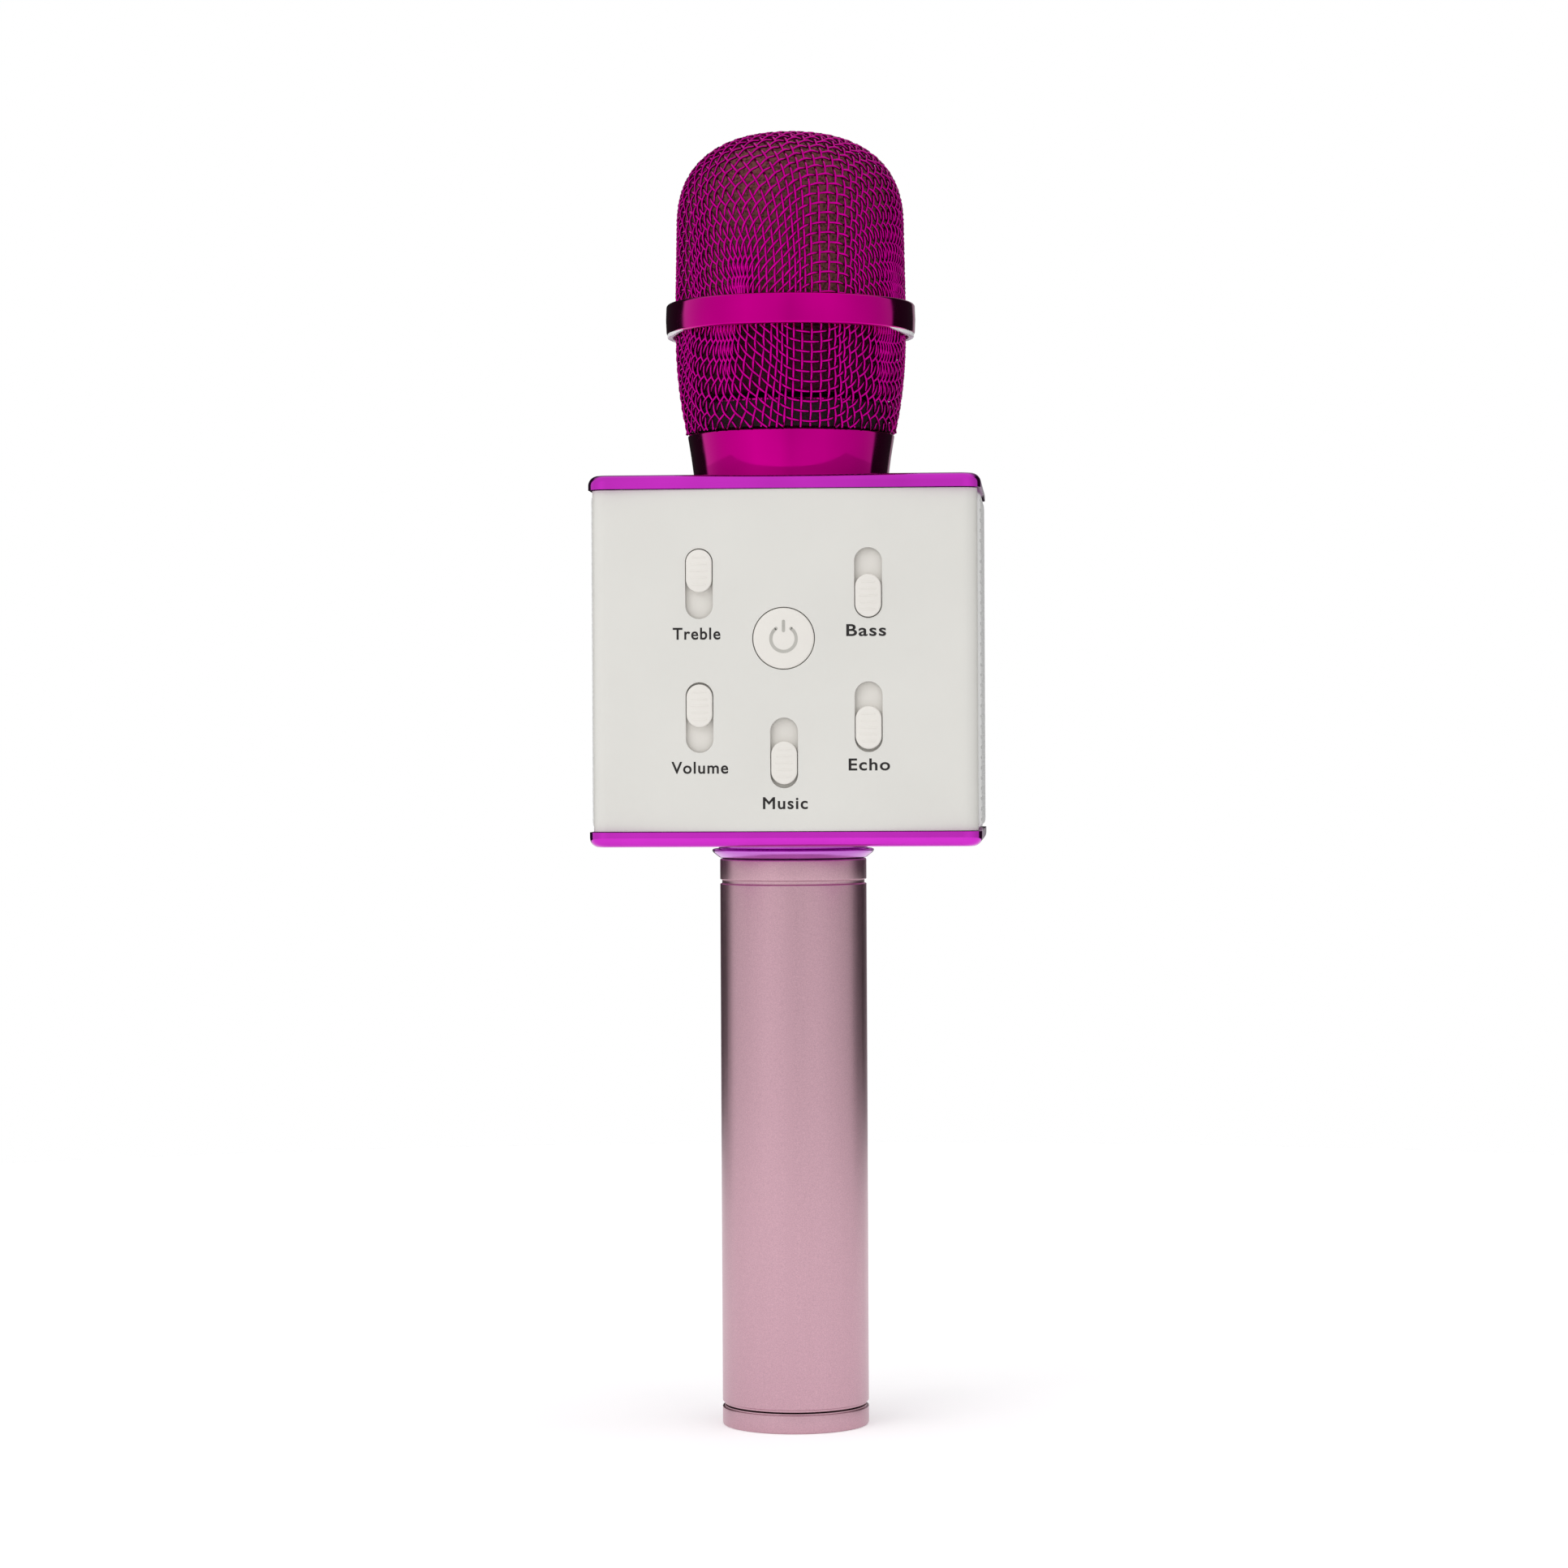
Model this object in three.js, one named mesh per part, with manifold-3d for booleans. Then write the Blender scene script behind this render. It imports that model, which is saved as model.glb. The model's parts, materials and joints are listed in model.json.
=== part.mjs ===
// Karaoke microphone with two loudspeakers in its control box.
// Millimetres, +Z up. The origin is the middle of the handle's bottom face, and the control panel
// faces -Y. Every mesh below is one piece of the real assembly.
import * as THREE from "three";
import { mergeVertices } from "three/addons/utils/BufferGeometryUtils.js";
import Module from "manifold-3d";

const wasm = await Module();
wasm.setup();

// ---- driving dimensions --------------------------------------------------------------------
const GAP = 0.3; // clearance between pieces that meet
const ROUND = 32; // sides of a large turned piece
const SMALL_ROUND = 12; // sides of a small turned piece

const HANDLE = {
  radius: 14.8,
  bore: 13.6,
  bottom: 4.0,
  top: 114.6,
  grooveZ: 109.8, // middle of the ring groove near the top
  groove: 0.9,
  grooveDeep: 0.4,
};
const CAP = { spigotRadius: 12.9, spigotTop: 11.0, springSeat: 3.0, springRoom: 8.2, edge: 0.4 };
const CORE = { radius: 13.2, bore: 9.6, bottom: 12.5, top: 113.6, seatZ: 90.0 };
const CELL = { radius: 9.0, bottom: 22.0, length: 65.0, tipRadius: 3.0, tipHeight: 1.2 };
const COLLAR = { radius: 16.4, thick: 1.8, bossRadius: 15.0, top: 117.3, bore: 6.0, bevel: 0.5 };

const BOX = {
  bottom: 117.3,
  top: 190.6,
  plateThick: 3.1,
  halfWidth: 38.7,
  halfDepth: 27.3,
  corner: 4.0,
  edge: 2.0,
};
const SHELL = { halfWidth: 37.9, halfDepth: 27.0, crown: 0.8, wall: 1.2, corner: 3.0, sideEnd: 20.9 };
const GRILLE = { outside: 38.6, wall: 1.2, halfDepth: 20.5, edge: 1.6 };
const SHELL_BOTTOM = BOX.bottom + BOX.plateThick;
const SHELL_TOP = BOX.top - BOX.plateThick;

const SLOT = { width: 5.4, length: 13.8 };
const KNOB = { width: 5.1, length: 8.4, front: 27.2 };
const SHUTTER = { width: 8.2, length: 19.6, thick: 0.7, behind: 0.25 };
const SLIDERS = [
  // name, slot centre x, slot centre z, where the knob stands in its travel
  { name: "treble", x: -16.6, z: 169.0, rest: 2.5 },
  { name: "bass", x: 16.6, z: 169.0, rest: -2.5 },
  { name: "volume", x: -16.6, z: 142.75, rest: 2.3 },
  { name: "echo", x: 16.6, z: 142.75, rest: -2.1 },
  { name: "music", x: 0, z: 135.75, rest: -1.95 },
];
const POWER = { z: 158.2, hole: 6.2, cap: 6.0, front: 27.1, travel: 0.8 };

const BOARD = { halfWidth: 24.0, front: -19.0, thick: 1.4, bottom: 124.5, top: 184.0 };
const POT = { width: 8.8, length: 21.0, depth: 3.7, slotWidth: 3.2, slotLength: 15.0, slotDepth: 2.5 };
const SPEAKER = { z: 153.8, flange: 21.5, flangeOut: 35.9, mouth: 19.0, throat: 11.5, back: 27.0 };
const MAGNET = { radius: 11.0, length: 7.2 };
const PORT = { usbX: -23.0, jackX: 23.0 };
const PORT_BOARD = { z: 125.2, thick: 1.2, halfWidth: 27.4, halfDepth: 8.0 };
const CASE_SCREW = {
  x: 31.0,
  z: [124.9, 182.9],
  head: 2.3,
  headLength: 1.4,
  headEnd: 25.4,
  shaft: 1.2,
  boss: 3.0,
  bossMeet: 2.0,
};
const COLLAR_SCREW = { x: 11.2, head: 1.9, headLength: 1.3, shaft: 1.0, top: 122.6 };

const NECK = {
  bottom: 190.6,
  top: 199.9,
  low: 19.55,
  high: 20.9,
  bore: 16.6,
  spigot: 17.6,
  spigotTop: 206.4,
};
const LOWER = { bottom: 199.9, top: 220.1, radius: 23.35, centre: 220.0, height: 47.5 };
const BAND = { bottom: 220.1, top: 226.2, radius: 25.2, bore: 22.6, edge: 0.8 };
const UPPER = {
  bottom: 226.2,
  shoulder: 241.7,
  radius: 23.35,
  shoulderRadius: 23.05,
  rise: 19.2,
  power: 2.45, // 2 is a round dome, and more is squarer
};
const BASKET_WALL = 0.9;
const THREAD_RING = { radius: 19.9, bore: 17.95, bottom: 200.4, top: 205.6 };
const FOAM = { clear: 0.5, bottom: 207.2, bore: 13.0, boreTop: 238.0 };
const CAPSULE = { radius: 7.7, bottom: 221.9, top: 231.5 };
const HOLDER = { radius: 9.0, top: 230.0, flangeZ: 203.0, bore: 5.0, wall: 1.6 };

// ---- finishes ------------------------------------------------------------------------------
function finish(color, roughness, metalness) {
  return new THREE.MeshStandardMaterial({ color, roughness, metalness });
}

const FINISH = {
  magentaPlating: finish(0xb40078, 0.12, 1.0),
  purplePlating: finish(0xc030b8, 0.14, 1.0),
  roseAluminium: finish(0xc49eaa, 0.42, 0.9),
  whitePlastic: finish(0xe0dfda, 0.5, 0.0),
  knobPlastic: finish(0xe2ddd8, 0.45, 0.0),
  whiteMesh: finish(0xdcdcd8, 0.4, 0.3),
  foam: finish(0x60303a, 0.95, 0.0),
  blackPlastic: finish(0x18181a, 0.5, 0.0),
  steel: finish(0xb8b8bc, 0.3, 1.0),
  brass: finish(0xc9a45c, 0.3, 1.0),
  circuitBoard: finish(0x1d5a38, 0.55, 0.0),
  paper: finish(0x1c1c1e, 0.8, 0.0),
  cellSleeve: finish(0x2c62a8, 0.35, 0.0),
  redLead: finish(0xa81818, 0.5, 0.0),
};

// ---- solids: joining and cutting -----------------------------------------------------------
function toSolid(geometry) {
  const bare = geometry.clone();
  bare.deleteAttribute("normal");
  bare.deleteAttribute("uv");
  const merged = mergeVertices(bare, 1e-4);
  const mesh = new wasm.Mesh({
    numProp: 3,
    vertProperties: merged.attributes.position.array,
    triVerts: new Uint32Array(merged.index.array),
  });
  return new wasm.Manifold(mesh);
}

function toGeometry(solid) {
  const mesh = solid.getMesh();
  const geometry = new THREE.BufferGeometry();
  geometry.setAttribute("position", new THREE.BufferAttribute(new Float32Array(mesh.vertProperties), 3));
  geometry.setIndex(new THREE.BufferAttribute(new Uint32Array(mesh.triVerts), 1));
  geometry.computeVertexNormals();
  return geometry;
}

function cut(base, ...tools) {
  return toGeometry(tools.reduce((solid, tool) => solid.subtract(toSolid(tool)), toSolid(base)));
}

function join(base, ...others) {
  return toGeometry(others.reduce((solid, other) => solid.add(toSolid(other)), toSolid(base)));
}

// ---- shapes --------------------------------------------------------------------------------
// A solid turned about +Z from [radius, height] points that run up its outside.
function turned(points, sides = ROUND) {
  const profile = points.map(([radius, height]) => new THREE.Vector2(radius, height));
  return new THREE.LatheGeometry(profile, sides).rotateX(Math.PI / 2);
}

// A turned piece with a bore: the profile closes on itself.
function turnedRing(points, sides = ROUND) {
  return turned([...points, points[0]], sides);
}

function rod(radius, bottom, top, sides = SMALL_ROUND) {
  return turned([[0, bottom], [radius, bottom], [radius, top], [0, top]], sides);
}

function block(x0, x1, y0, y1, z0, z1) {
  const size = new THREE.BoxGeometry(x1 - x0, y1 - y0, z1 - z0);
  return size.translate((x0 + x1) / 2, (y0 + y1) / 2, (z0 + z1) / 2);
}

// A rod along Y from y0 to y1 at (x, z).
function rodAlongY(radius, y0, y1, x, z, sides = SMALL_ROUND) {
  return rod(radius, -y1, -y0, sides).rotateX(Math.PI / 2).translate(x, 0, z);
}

// A closed oval with straight sides, upright in X and Z, that fills y0 to y1.
function oval(width, length, y0, y1, x, z, steps = 8) {
  const r = width / 2;
  const straight = length / 2 - r;
  const shape = new THREE.Shape();
  shape.absarc(0, straight, r, 0, Math.PI, false);
  shape.absarc(0, -straight, r, Math.PI, 2 * Math.PI, false);
  shape.closePath();
  const settings = { depth: y1 - y0, bevelEnabled: false, curveSegments: steps };
  return new THREE.ExtrudeGeometry(shape, settings).rotateX(Math.PI / 2).translate(x, y1, z);
}

// A flat plate with rounded corners. Its outer rim is rounded on the side that faces up or down.
function roundedPlate(bottom, top, facesUp) {
  const { halfWidth, halfDepth, corner, edge } = BOX;
  const w = halfWidth - edge;
  const d = halfDepth - edge;
  const r = corner - edge;
  const thick = top - bottom;
  const shape = new THREE.Shape();
  shape.absarc(w - r, d - r, r, 0, Math.PI / 2, false);
  shape.absarc(r - w, d - r, r, Math.PI / 2, Math.PI, false);
  shape.absarc(r - w, r - d, r, Math.PI, 1.5 * Math.PI, false);
  shape.absarc(w - r, r - d, r, 1.5 * Math.PI, 2 * Math.PI, false);
  shape.closePath();
  const settings = {
    depth: 2 * (thick - edge),
    bevelEnabled: true,
    bevelThickness: edge,
    bevelSize: edge,
    bevelSegments: 3,
    curveSegments: 3,
  };
  const flat = facesUp ? bottom : top;
  const full = new THREE.ExtrudeGeometry(shape, settings).translate(0, 0, flat - (thick - edge));
  const spareLow = facesUp ? flat - 2 * thick : flat;
  const spare = block(-50, 50, -50, 50, spareLow, spareLow + 2 * thick);
  return cut(full, spare);
}

// A round lead along points, with flat ends.
function lead(points, radius = 0.8, steps = 16) {
  const path = new THREE.CatmullRomCurve3(points.map((point) => new THREE.Vector3(...point)));
  const section = new THREE.Shape();
  section.absarc(0, 0, radius, 0, 2 * Math.PI, false);
  const settings = { steps, extrudePath: path, bevelEnabled: false, curveSegments: 4 };
  return new THREE.ExtrudeGeometry(section, settings);
}

// ---- the assembly --------------------------------------------------------------------------
const microphone = new THREE.Group();

function add(name, geometry, material, place = [0, 0, 0]) {
  const mesh = new THREE.Mesh(geometry, material);
  mesh.name = name;
  mesh.position.set(...place);
  microphone.add(mesh);
  return mesh;
}

// ---- handle --------------------------------------------------------------------------------
function makeHandle() {
  const { radius, bore, bottom, top, grooveZ, groove, grooveDeep } = HANDLE;
  const low = bottom + GAP;
  const high = top - GAP / 2;
  const tube = [
    [bore, low],
    [radius - grooveDeep, low],
    [radius - grooveDeep, low + groove / 2],
    [radius, low + groove / 2 + 0.1],
    [radius, grooveZ - groove / 2],
    [radius - grooveDeep, grooveZ - groove / 2 + 0.1],
    [radius - grooveDeep, grooveZ + groove / 2 - 0.1],
    [radius, grooveZ + groove / 2],
    [radius, high],
    [bore, high],
  ];
  add("handle_tube", turnedRing(tube), FINISH.roseAluminium);

  const core = [
    [CORE.bore, CORE.bottom],
    [CORE.radius, CORE.bottom],
    [CORE.radius, CORE.top],
    [COLLAR.bore, CORE.top],
    [COLLAR.bore, CORE.seatZ],
    [CORE.bore, CORE.seatZ],
  ];
  const screwRoom = rod(COLLAR_SCREW.head + GAP, CORE.top - 6, CORE.top + 1, 12);
  const coreBody = cut(
    turnedRing(core),
    screwRoom.clone().translate(COLLAR_SCREW.x, 0, 0),
    screwRoom.clone().translate(-COLLAR_SCREW.x, 0, 0),
  );
  add("handle_core", coreBody, FINISH.blackPlastic);

  const { radius: cellRadius, bottom: cellBottom, length, tipRadius, tipHeight } = CELL;
  const cell = [
    [0, cellBottom],
    [cellRadius - 0.5, cellBottom],
    [cellRadius, cellBottom + 0.5],
    [cellRadius, cellBottom + length - 0.5],
    [cellRadius - 0.5, cellBottom + length],
    [tipRadius, cellBottom + length],
    [tipRadius, cellBottom + length + tipHeight],
    [0, cellBottom + length + tipHeight],
  ];
  add("battery_cell", turned(cell, 24), FINISH.cellSleeve);
  const contactBottom = cellBottom + length + tipHeight + GAP;
  add("battery_top_contact", rod(CORE.bore - GAP, contactBottom, contactBottom + 0.5), FINISH.brass);

  const bossBottom = top + COLLAR.thick;
  const collar = [
    [COLLAR.bore, top],
    [COLLAR.radius - COLLAR.bevel, top],
    [COLLAR.radius, top + COLLAR.bevel],
    [COLLAR.radius, bossBottom - COLLAR.bevel],
    [COLLAR.radius - COLLAR.bevel, bossBottom],
    [COLLAR.bossRadius, bossBottom],
    [COLLAR.bossRadius, COLLAR.top - GAP / 2],
    [COLLAR.bore, COLLAR.top - GAP / 2],
  ];
  const headRoom = rod(COLLAR_SCREW.head + GAP, top - 1, top + 1.5, 12);
  const shaftRoom = rod(COLLAR_SCREW.shaft + 0.2, top, COLLAR.top + 1, 12);
  const sides = [COLLAR_SCREW.x, -COLLAR_SCREW.x];
  const holes = sides.flatMap((x) => [headRoom, shaftRoom].map((hole) => hole.clone().translate(x, 0, 0)));
  add("handle_collar", cut(turnedRing(collar), ...holes), FINISH.purplePlating);

  const headTop = top + 1.2;
  const screw = [
    [0, headTop - COLLAR_SCREW.headLength],
    [COLLAR_SCREW.head, headTop - COLLAR_SCREW.headLength],
    [COLLAR_SCREW.head, headTop],
    [COLLAR_SCREW.shaft, headTop],
    [COLLAR_SCREW.shaft, COLLAR_SCREW.top],
    [0, COLLAR_SCREW.top],
  ];
  add("collar_screw_right", turned(screw, 12), FINISH.steel, [COLLAR_SCREW.x, 0, 0]);
  add("collar_screw_left", turned(screw, 12), FINISH.steel, [-COLLAR_SCREW.x, 0, 0]);
}

function makeEndCap() {
  const { radius, bottom } = HANDLE;
  const cap = [
    [0, 0],
    [radius - CAP.edge, 0],
    [radius, CAP.edge],
    [radius, bottom - 0.35],
    [radius - HANDLE.grooveDeep, bottom - 0.25],
    [radius - HANDLE.grooveDeep, bottom],
    [CAP.spigotRadius, bottom],
    [CAP.spigotRadius, CAP.spigotTop],
    [CAP.springRoom, CAP.spigotTop],
    [CAP.springRoom, CAP.springSeat],
    [0, CAP.springSeat],
  ];
  add("handle_end_cap", turned(cap), FINISH.roseAluminium);

  const turns = 6;
  const coilRadius = 5.5;
  const wire = 0.45;
  const low = CAP.springSeat + GAP + wire;
  const high = CELL.bottom - GAP - wire;
  class Coil extends THREE.Curve {
    getPoint(t) {
      const angle = 2 * Math.PI * turns * t;
      const height = low + (high - low) * t;
      return new THREE.Vector3(coilRadius * Math.cos(angle), coilRadius * Math.sin(angle), height);
    }
  }
  const section = new THREE.Shape();
  section.absarc(0, 0, wire, 0, 2 * Math.PI, false);
  const settings = { steps: turns * 10, extrudePath: new Coil(), bevelEnabled: false, curveSegments: 3 };
  add("contact_spring", new THREE.ExtrudeGeometry(section, settings), FINISH.steel);
}

// ---- control box ---------------------------------------------------------------------------
function makePlates() {
  const { bottom, top, plateThick } = BOX;
  const lowPlate = roundedPlate(bottom, bottom + plateThick - GAP / 2, false);
  const under = bottom - 1;
  const over = bottom + plateThick + 1;
  const usbHole = block(PORT.usbX - 4.2, PORT.usbX + 4.2, -1.8, 1.8, under, over);
  const jackHole = rod(3.3, under, over).translate(PORT.jackX, 0, 0);
  const screwHole = rod(COLLAR_SCREW.shaft + 0.2, under, over, 12);
  const cutPlate = cut(
    lowPlate,
    rod(COLLAR.bore, under, over),
    usbHole,
    jackHole,
    screwHole.clone().translate(COLLAR_SCREW.x, 0, 0),
    screwHole.clone().translate(-COLLAR_SCREW.x, 0, 0),
  );
  add("bottom_plate", cutPlate, FINISH.purplePlating);

  const highPlate = roundedPlate(top - plateThick + GAP / 2, top - GAP / 2, true);
  const neckRoom = rod(NECK.bore, top - plateThick - 1, top + 1, ROUND);
  add("top_plate", cut(highPlate, neckRoom), FINISH.purplePlating);
}

// Where the crowned face of the front shell lies at x.
const faceDepth = (x) => -SHELL.halfDepth + SHELL.crown * (x / (SHELL.halfWidth - SHELL.corner)) ** 2;

// Plan outline of the front shell: a crowned face, round corners and two short side walls.
function shellOutline() {
  const { halfWidth, halfDepth, crown, wall, corner, sideEnd } = SHELL;
  const faceEnd = halfWidth - corner;
  const faceY = crown - halfDepth;
  const shape = new THREE.Shape();
  shape.moveTo(-halfWidth, -sideEnd);
  shape.lineTo(-halfWidth, faceY + corner);
  shape.absarc(-faceEnd, faceY + corner, corner, Math.PI, 1.5 * Math.PI, false);
  shape.quadraticCurveTo(0, faceY - 2 * crown, faceEnd, faceY);
  shape.absarc(faceEnd, faceY + corner, corner, 1.5 * Math.PI, 2 * Math.PI, false);
  shape.lineTo(halfWidth, -sideEnd);
  shape.lineTo(halfWidth - wall, -sideEnd);
  shape.lineTo(halfWidth - wall, faceY + corner);
  shape.absarc(faceEnd, faceY + corner, corner - wall, 2 * Math.PI, 1.5 * Math.PI, true);
  shape.quadraticCurveTo(0, faceY + wall - 2 * crown, -faceEnd, faceY + wall);
  shape.absarc(-faceEnd, faceY + corner, corner - wall, 1.5 * Math.PI, Math.PI, true);
  shape.lineTo(wall - halfWidth, -sideEnd);
  shape.closePath();
  return shape;
}

function shellBody() {
  const depth = SHELL_TOP - SHELL_BOTTOM;
  const settings = { depth, bevelEnabled: false, curveSegments: 6 };
  return new THREE.ExtrudeGeometry(shellOutline(), settings).translate(0, 0, SHELL_BOTTOM);
}

function makeShells() {
  const inside = SHELL.wall + 0.3 - SHELL.halfDepth;
  const corners = CASE_SCREW.z.flatMap((z) => [[-CASE_SCREW.x, z], [CASE_SCREW.x, z]]);
  const meet = CASE_SCREW.bossMeet;
  const bosses = corners.map(([x, z]) => rodAlongY(CASE_SCREW.boss, inside, -meet - GAP, x, z, 12));
  const pilots = corners.map(([x, z]) => rodAlongY(CASE_SCREW.shaft + 0.2, inside + 2, 0, x, z, 12));
  const slots = SLIDERS.map(({ x, z }) => oval(SLOT.width, SLOT.length, -30, -20, x, z));
  const buttonHole = rodAlongY(POWER.hole, -30, -20, 0, POWER.z, 32);
  const front = join(shellBody(), ...bosses);
  add("front_shell", cut(front, ...slots, buttonHole, ...pilots), FINISH.whitePlastic);

  const rearBosses = corners.map(([x, z]) => rodAlongY(CASE_SCREW.boss, -meet, -inside, x, z, 12));
  const shaftHoles = corners.map(([x, z]) => rodAlongY(CASE_SCREW.shaft + 0.2, -meet - 1, 30, x, z, 12));
  const headHoles = corners.map(([x, z]) => rodAlongY(CASE_SCREW.head + GAP, 23.4, 30, x, z, 12));
  const rear = join(shellBody().rotateZ(Math.PI), ...rearBosses);
  add("rear_shell", cut(rear, ...shaftHoles, ...headHoles), FINISH.whitePlastic);

  const { headEnd } = CASE_SCREW;
  const headStart = headEnd - CASE_SCREW.headLength;
  corners.forEach(([x, z], index) => {
    const screw = join(
      rodAlongY(CASE_SCREW.head, headStart, headEnd, x, z, 12),
      rodAlongY(CASE_SCREW.shaft, -12, headStart + 0.1, x, z, 12),
    );
    add(`case_screw_${index + 1}`, screw, FINISH.steel);
  });
}

function makeGrille(side, name) {
  const { outside, wall, halfDepth, edge } = GRILLE;
  const inner = outside - wall;
  const shape = new THREE.Shape();
  shape.moveTo(inner, -halfDepth);
  shape.lineTo(outside - edge + 0.4, -halfDepth);
  shape.quadraticCurveTo(outside, -halfDepth, outside, edge - halfDepth);
  shape.lineTo(outside, halfDepth - edge);
  shape.quadraticCurveTo(outside, halfDepth, outside - edge + 0.4, halfDepth);
  shape.lineTo(inner, halfDepth);
  shape.closePath();
  const depth = SHELL_TOP - SHELL_BOTTOM;
  const sheet = new THREE.ExtrudeGeometry(shape, { depth, bevelEnabled: false, curveSegments: 3 });
  sheet.translate(0, 0, SHELL_BOTTOM);
  if (side < 0) {
    sheet.rotateZ(Math.PI);
  }
  add(name, sheet, FINISH.whiteMesh);
}

// ---- loudspeakers --------------------------------------------------------------------------
// Each is turned about +Z with its mouth up, then laid over so that it faces out of its side.
function makeSpeaker(side, name) {
  const { z, flange, flangeOut, mouth, throat, back } = SPEAKER;
  const lay = (geometry) => geometry.rotateY((side * Math.PI) / 2).translate(0, 0, z);
  const frame = [
    [throat - 2.5, back],
    [throat, back],
    [mouth, flangeOut - 2.2],
    [flange, flangeOut - 1.4],
    [flange, flangeOut],
    [mouth, flangeOut],
    [mouth, flangeOut - 1.2],
    [throat - 0.8, back + 1.2],
    [throat - 2.5, back + 1.2],
  ];
  add(`speaker_frame_${name}`, lay(turnedRing(frame, 20)), FINISH.blackPlastic);

  const magnetTop = back - GAP;
  const magnet = rod(MAGNET.radius, magnetTop - MAGNET.length, magnetTop, 24);
  add(`speaker_magnet_${name}`, lay(magnet), FINISH.steel);

  const cone = [
    [0, flangeOut - 4.6],
    [4.0, flangeOut - 5.4],
    [7.0, flangeOut - 6.4],
    [mouth - 1.6, flangeOut - 1.0],
    [mouth - 1.6, flangeOut - 0.5],
    [7.0, flangeOut - 5.6],
    [4.0, flangeOut - 4.6],
    [0, flangeOut - 3.9],
  ];
  add(`speaker_cone_${name}`, lay(turned(cone, 20)), FINISH.paper);
}

// ---- controls and electronics --------------------------------------------------------------
function makeSlider({ name, x, z, rest }) {
  const knobZ = z + rest;
  const shutterFront = faceDepth(x) + SHELL.wall + SHUTTER.behind;
  const shutterBack = shutterFront + SHUTTER.thick;
  const potFront = BOARD.front - GAP - POT.depth;
  const knob = join(
    oval(KNOB.width, KNOB.length, -KNOB.front, shutterFront + 0.1, x, knobZ),
    oval(SHUTTER.width, SHUTTER.length, shutterFront, shutterBack, x, knobZ, 4),
    block(x - 0.9, x + 0.9, shutterBack - 0.1, potFront + 1.3, knobZ - 1.2, knobZ + 1.2),
  );
  add(`${name}_knob`, knob, FINISH.knobPlastic);

  const wiperFront = potFront + 1.3 + GAP;
  const wiper = block(x - 1.2, x + 1.2, wiperFront, wiperFront + 0.4, knobZ - 1.6, knobZ + 1.6);
  add(`${name}_wiper`, wiper, FINISH.brass);

  const halfWidth = POT.width / 2;
  const halfLength = POT.length / 2;
  const potBack = potFront + POT.depth;
  const can = block(x - halfWidth, x + halfWidth, potFront, potBack, z - halfLength, z + halfLength);
  const halfSlot = POT.slotLength / 2;
  const slotBack = potFront + POT.slotDepth;
  const sides = [x - POT.slotWidth / 2, x + POT.slotWidth / 2];
  const track = block(...sides, potFront - 1, slotBack, z - halfSlot, z + halfSlot);
  add(`${name}_pot`, cut(can, track), FINISH.steel);
}

function makePowerButton() {
  const switchFront = -21.3;
  const postEnd = switchFront - GAP - POWER.travel;
  const button = join(
    rodAlongY(POWER.cap, -POWER.front, -24.8, 0, POWER.z, 32),
    rodAlongY(POWER.cap + 1.0, -24.9, -24.2, 0, POWER.z, 24),
    rodAlongY(1.5, -24.3, postEnd, 0, POWER.z, 12),
  );
  add("power_button", button, FINISH.knobPlastic);

  const bodyFront = -20.9;
  const tact = join(
    block(-3, 3, bodyFront, BOARD.front - GAP, POWER.z - 3, POWER.z + 3),
    rodAlongY(1.5, switchFront, bodyFront + 0.1, 0, POWER.z, 12),
  );
  add("power_switch", tact, FINISH.blackPlastic);
}

function makeBoards() {
  const { halfWidth, front, thick, bottom, top } = BOARD;
  add("main_board", block(-halfWidth, halfWidth, front, front + thick, bottom, top), FINISH.circuitBoard);
  const back = front + thick + GAP;
  add("radio_module", block(-9, 9, back, back + 2.4, 156, 174), FINISH.steel);

  const { usbX, jackX } = PORT;
  const { z: boardZ, halfWidth: w, halfDepth: d } = PORT_BOARD;
  add("port_board", block(-w, w, -d, d, boardZ, boardZ + PORT_BOARD.thick), FINISH.circuitBoard);
  const socketBottom = BOX.bottom + 0.2;
  const socketTop = boardZ - GAP;
  const usb = cut(
    block(usbX - 3.8, usbX + 3.8, -1.4, 1.4, socketBottom, socketTop),
    block(usbX - 3.4, usbX + 3.4, -1.0, 1.0, socketBottom - 1, socketTop - 1.5),
  );
  add("usb_socket", usb, FINISH.steel);
  const jack = cut(
    join(
      block(jackX - 3.5, jackX + 3.5, -3.5, 3.5, SHELL_BOTTOM + GAP, socketTop),
      rod(2.9, socketBottom, SHELL_BOTTOM + 1).translate(jackX, 0, 0),
    ),
    rod(1.8, socketBottom - 1, socketTop - 1).translate(jackX, 0, 0),
  );
  add("audio_jack", jack, FINISH.blackPlastic);
}

function makeLeads() {
  const boardBack = BOARD.front + BOARD.thick + GAP + 0.2;
  const contactTop = CELL.bottom + CELL.length + CELL.tipHeight + GAP + 0.5;
  const batteryRun = [[0, 0, contactTop + GAP], [0.6, 0, 100], [0, 0.4, 112], [0, 0, PORT_BOARD.z - GAP]];
  add("battery_lead", lead(batteryRun), FINISH.redLead);
  const micRun = [
    [0, 0, 219.6],
    [0, 0, 205],
    [0, 0, 192],
    [0, -4, 184],
    [0, -11, 179],
    [0, boardBack + 0.4, 177.5],
  ];
  add("capsule_lead", lead(micRun), FINISH.blackPlastic);
  [["left", -1], ["right", 1]].forEach(([name, side]) => {
    const run = [
      [side * 25, -15, 166],
      [side * 22, -14, 169],
      [side * 19, -15, 171],
      [side * 17, boardBack + 0.4, 171],
    ];
    add(`speaker_lead_${name}`, lead(run, 0.7, 10), FINISH.redLead);
  });
}

// ---- head ----------------------------------------------------------------------------------
const lowerRadius = (z) => LOWER.radius * Math.sqrt(1 - ((LOWER.centre - z) / LOWER.height) ** 2);

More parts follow.
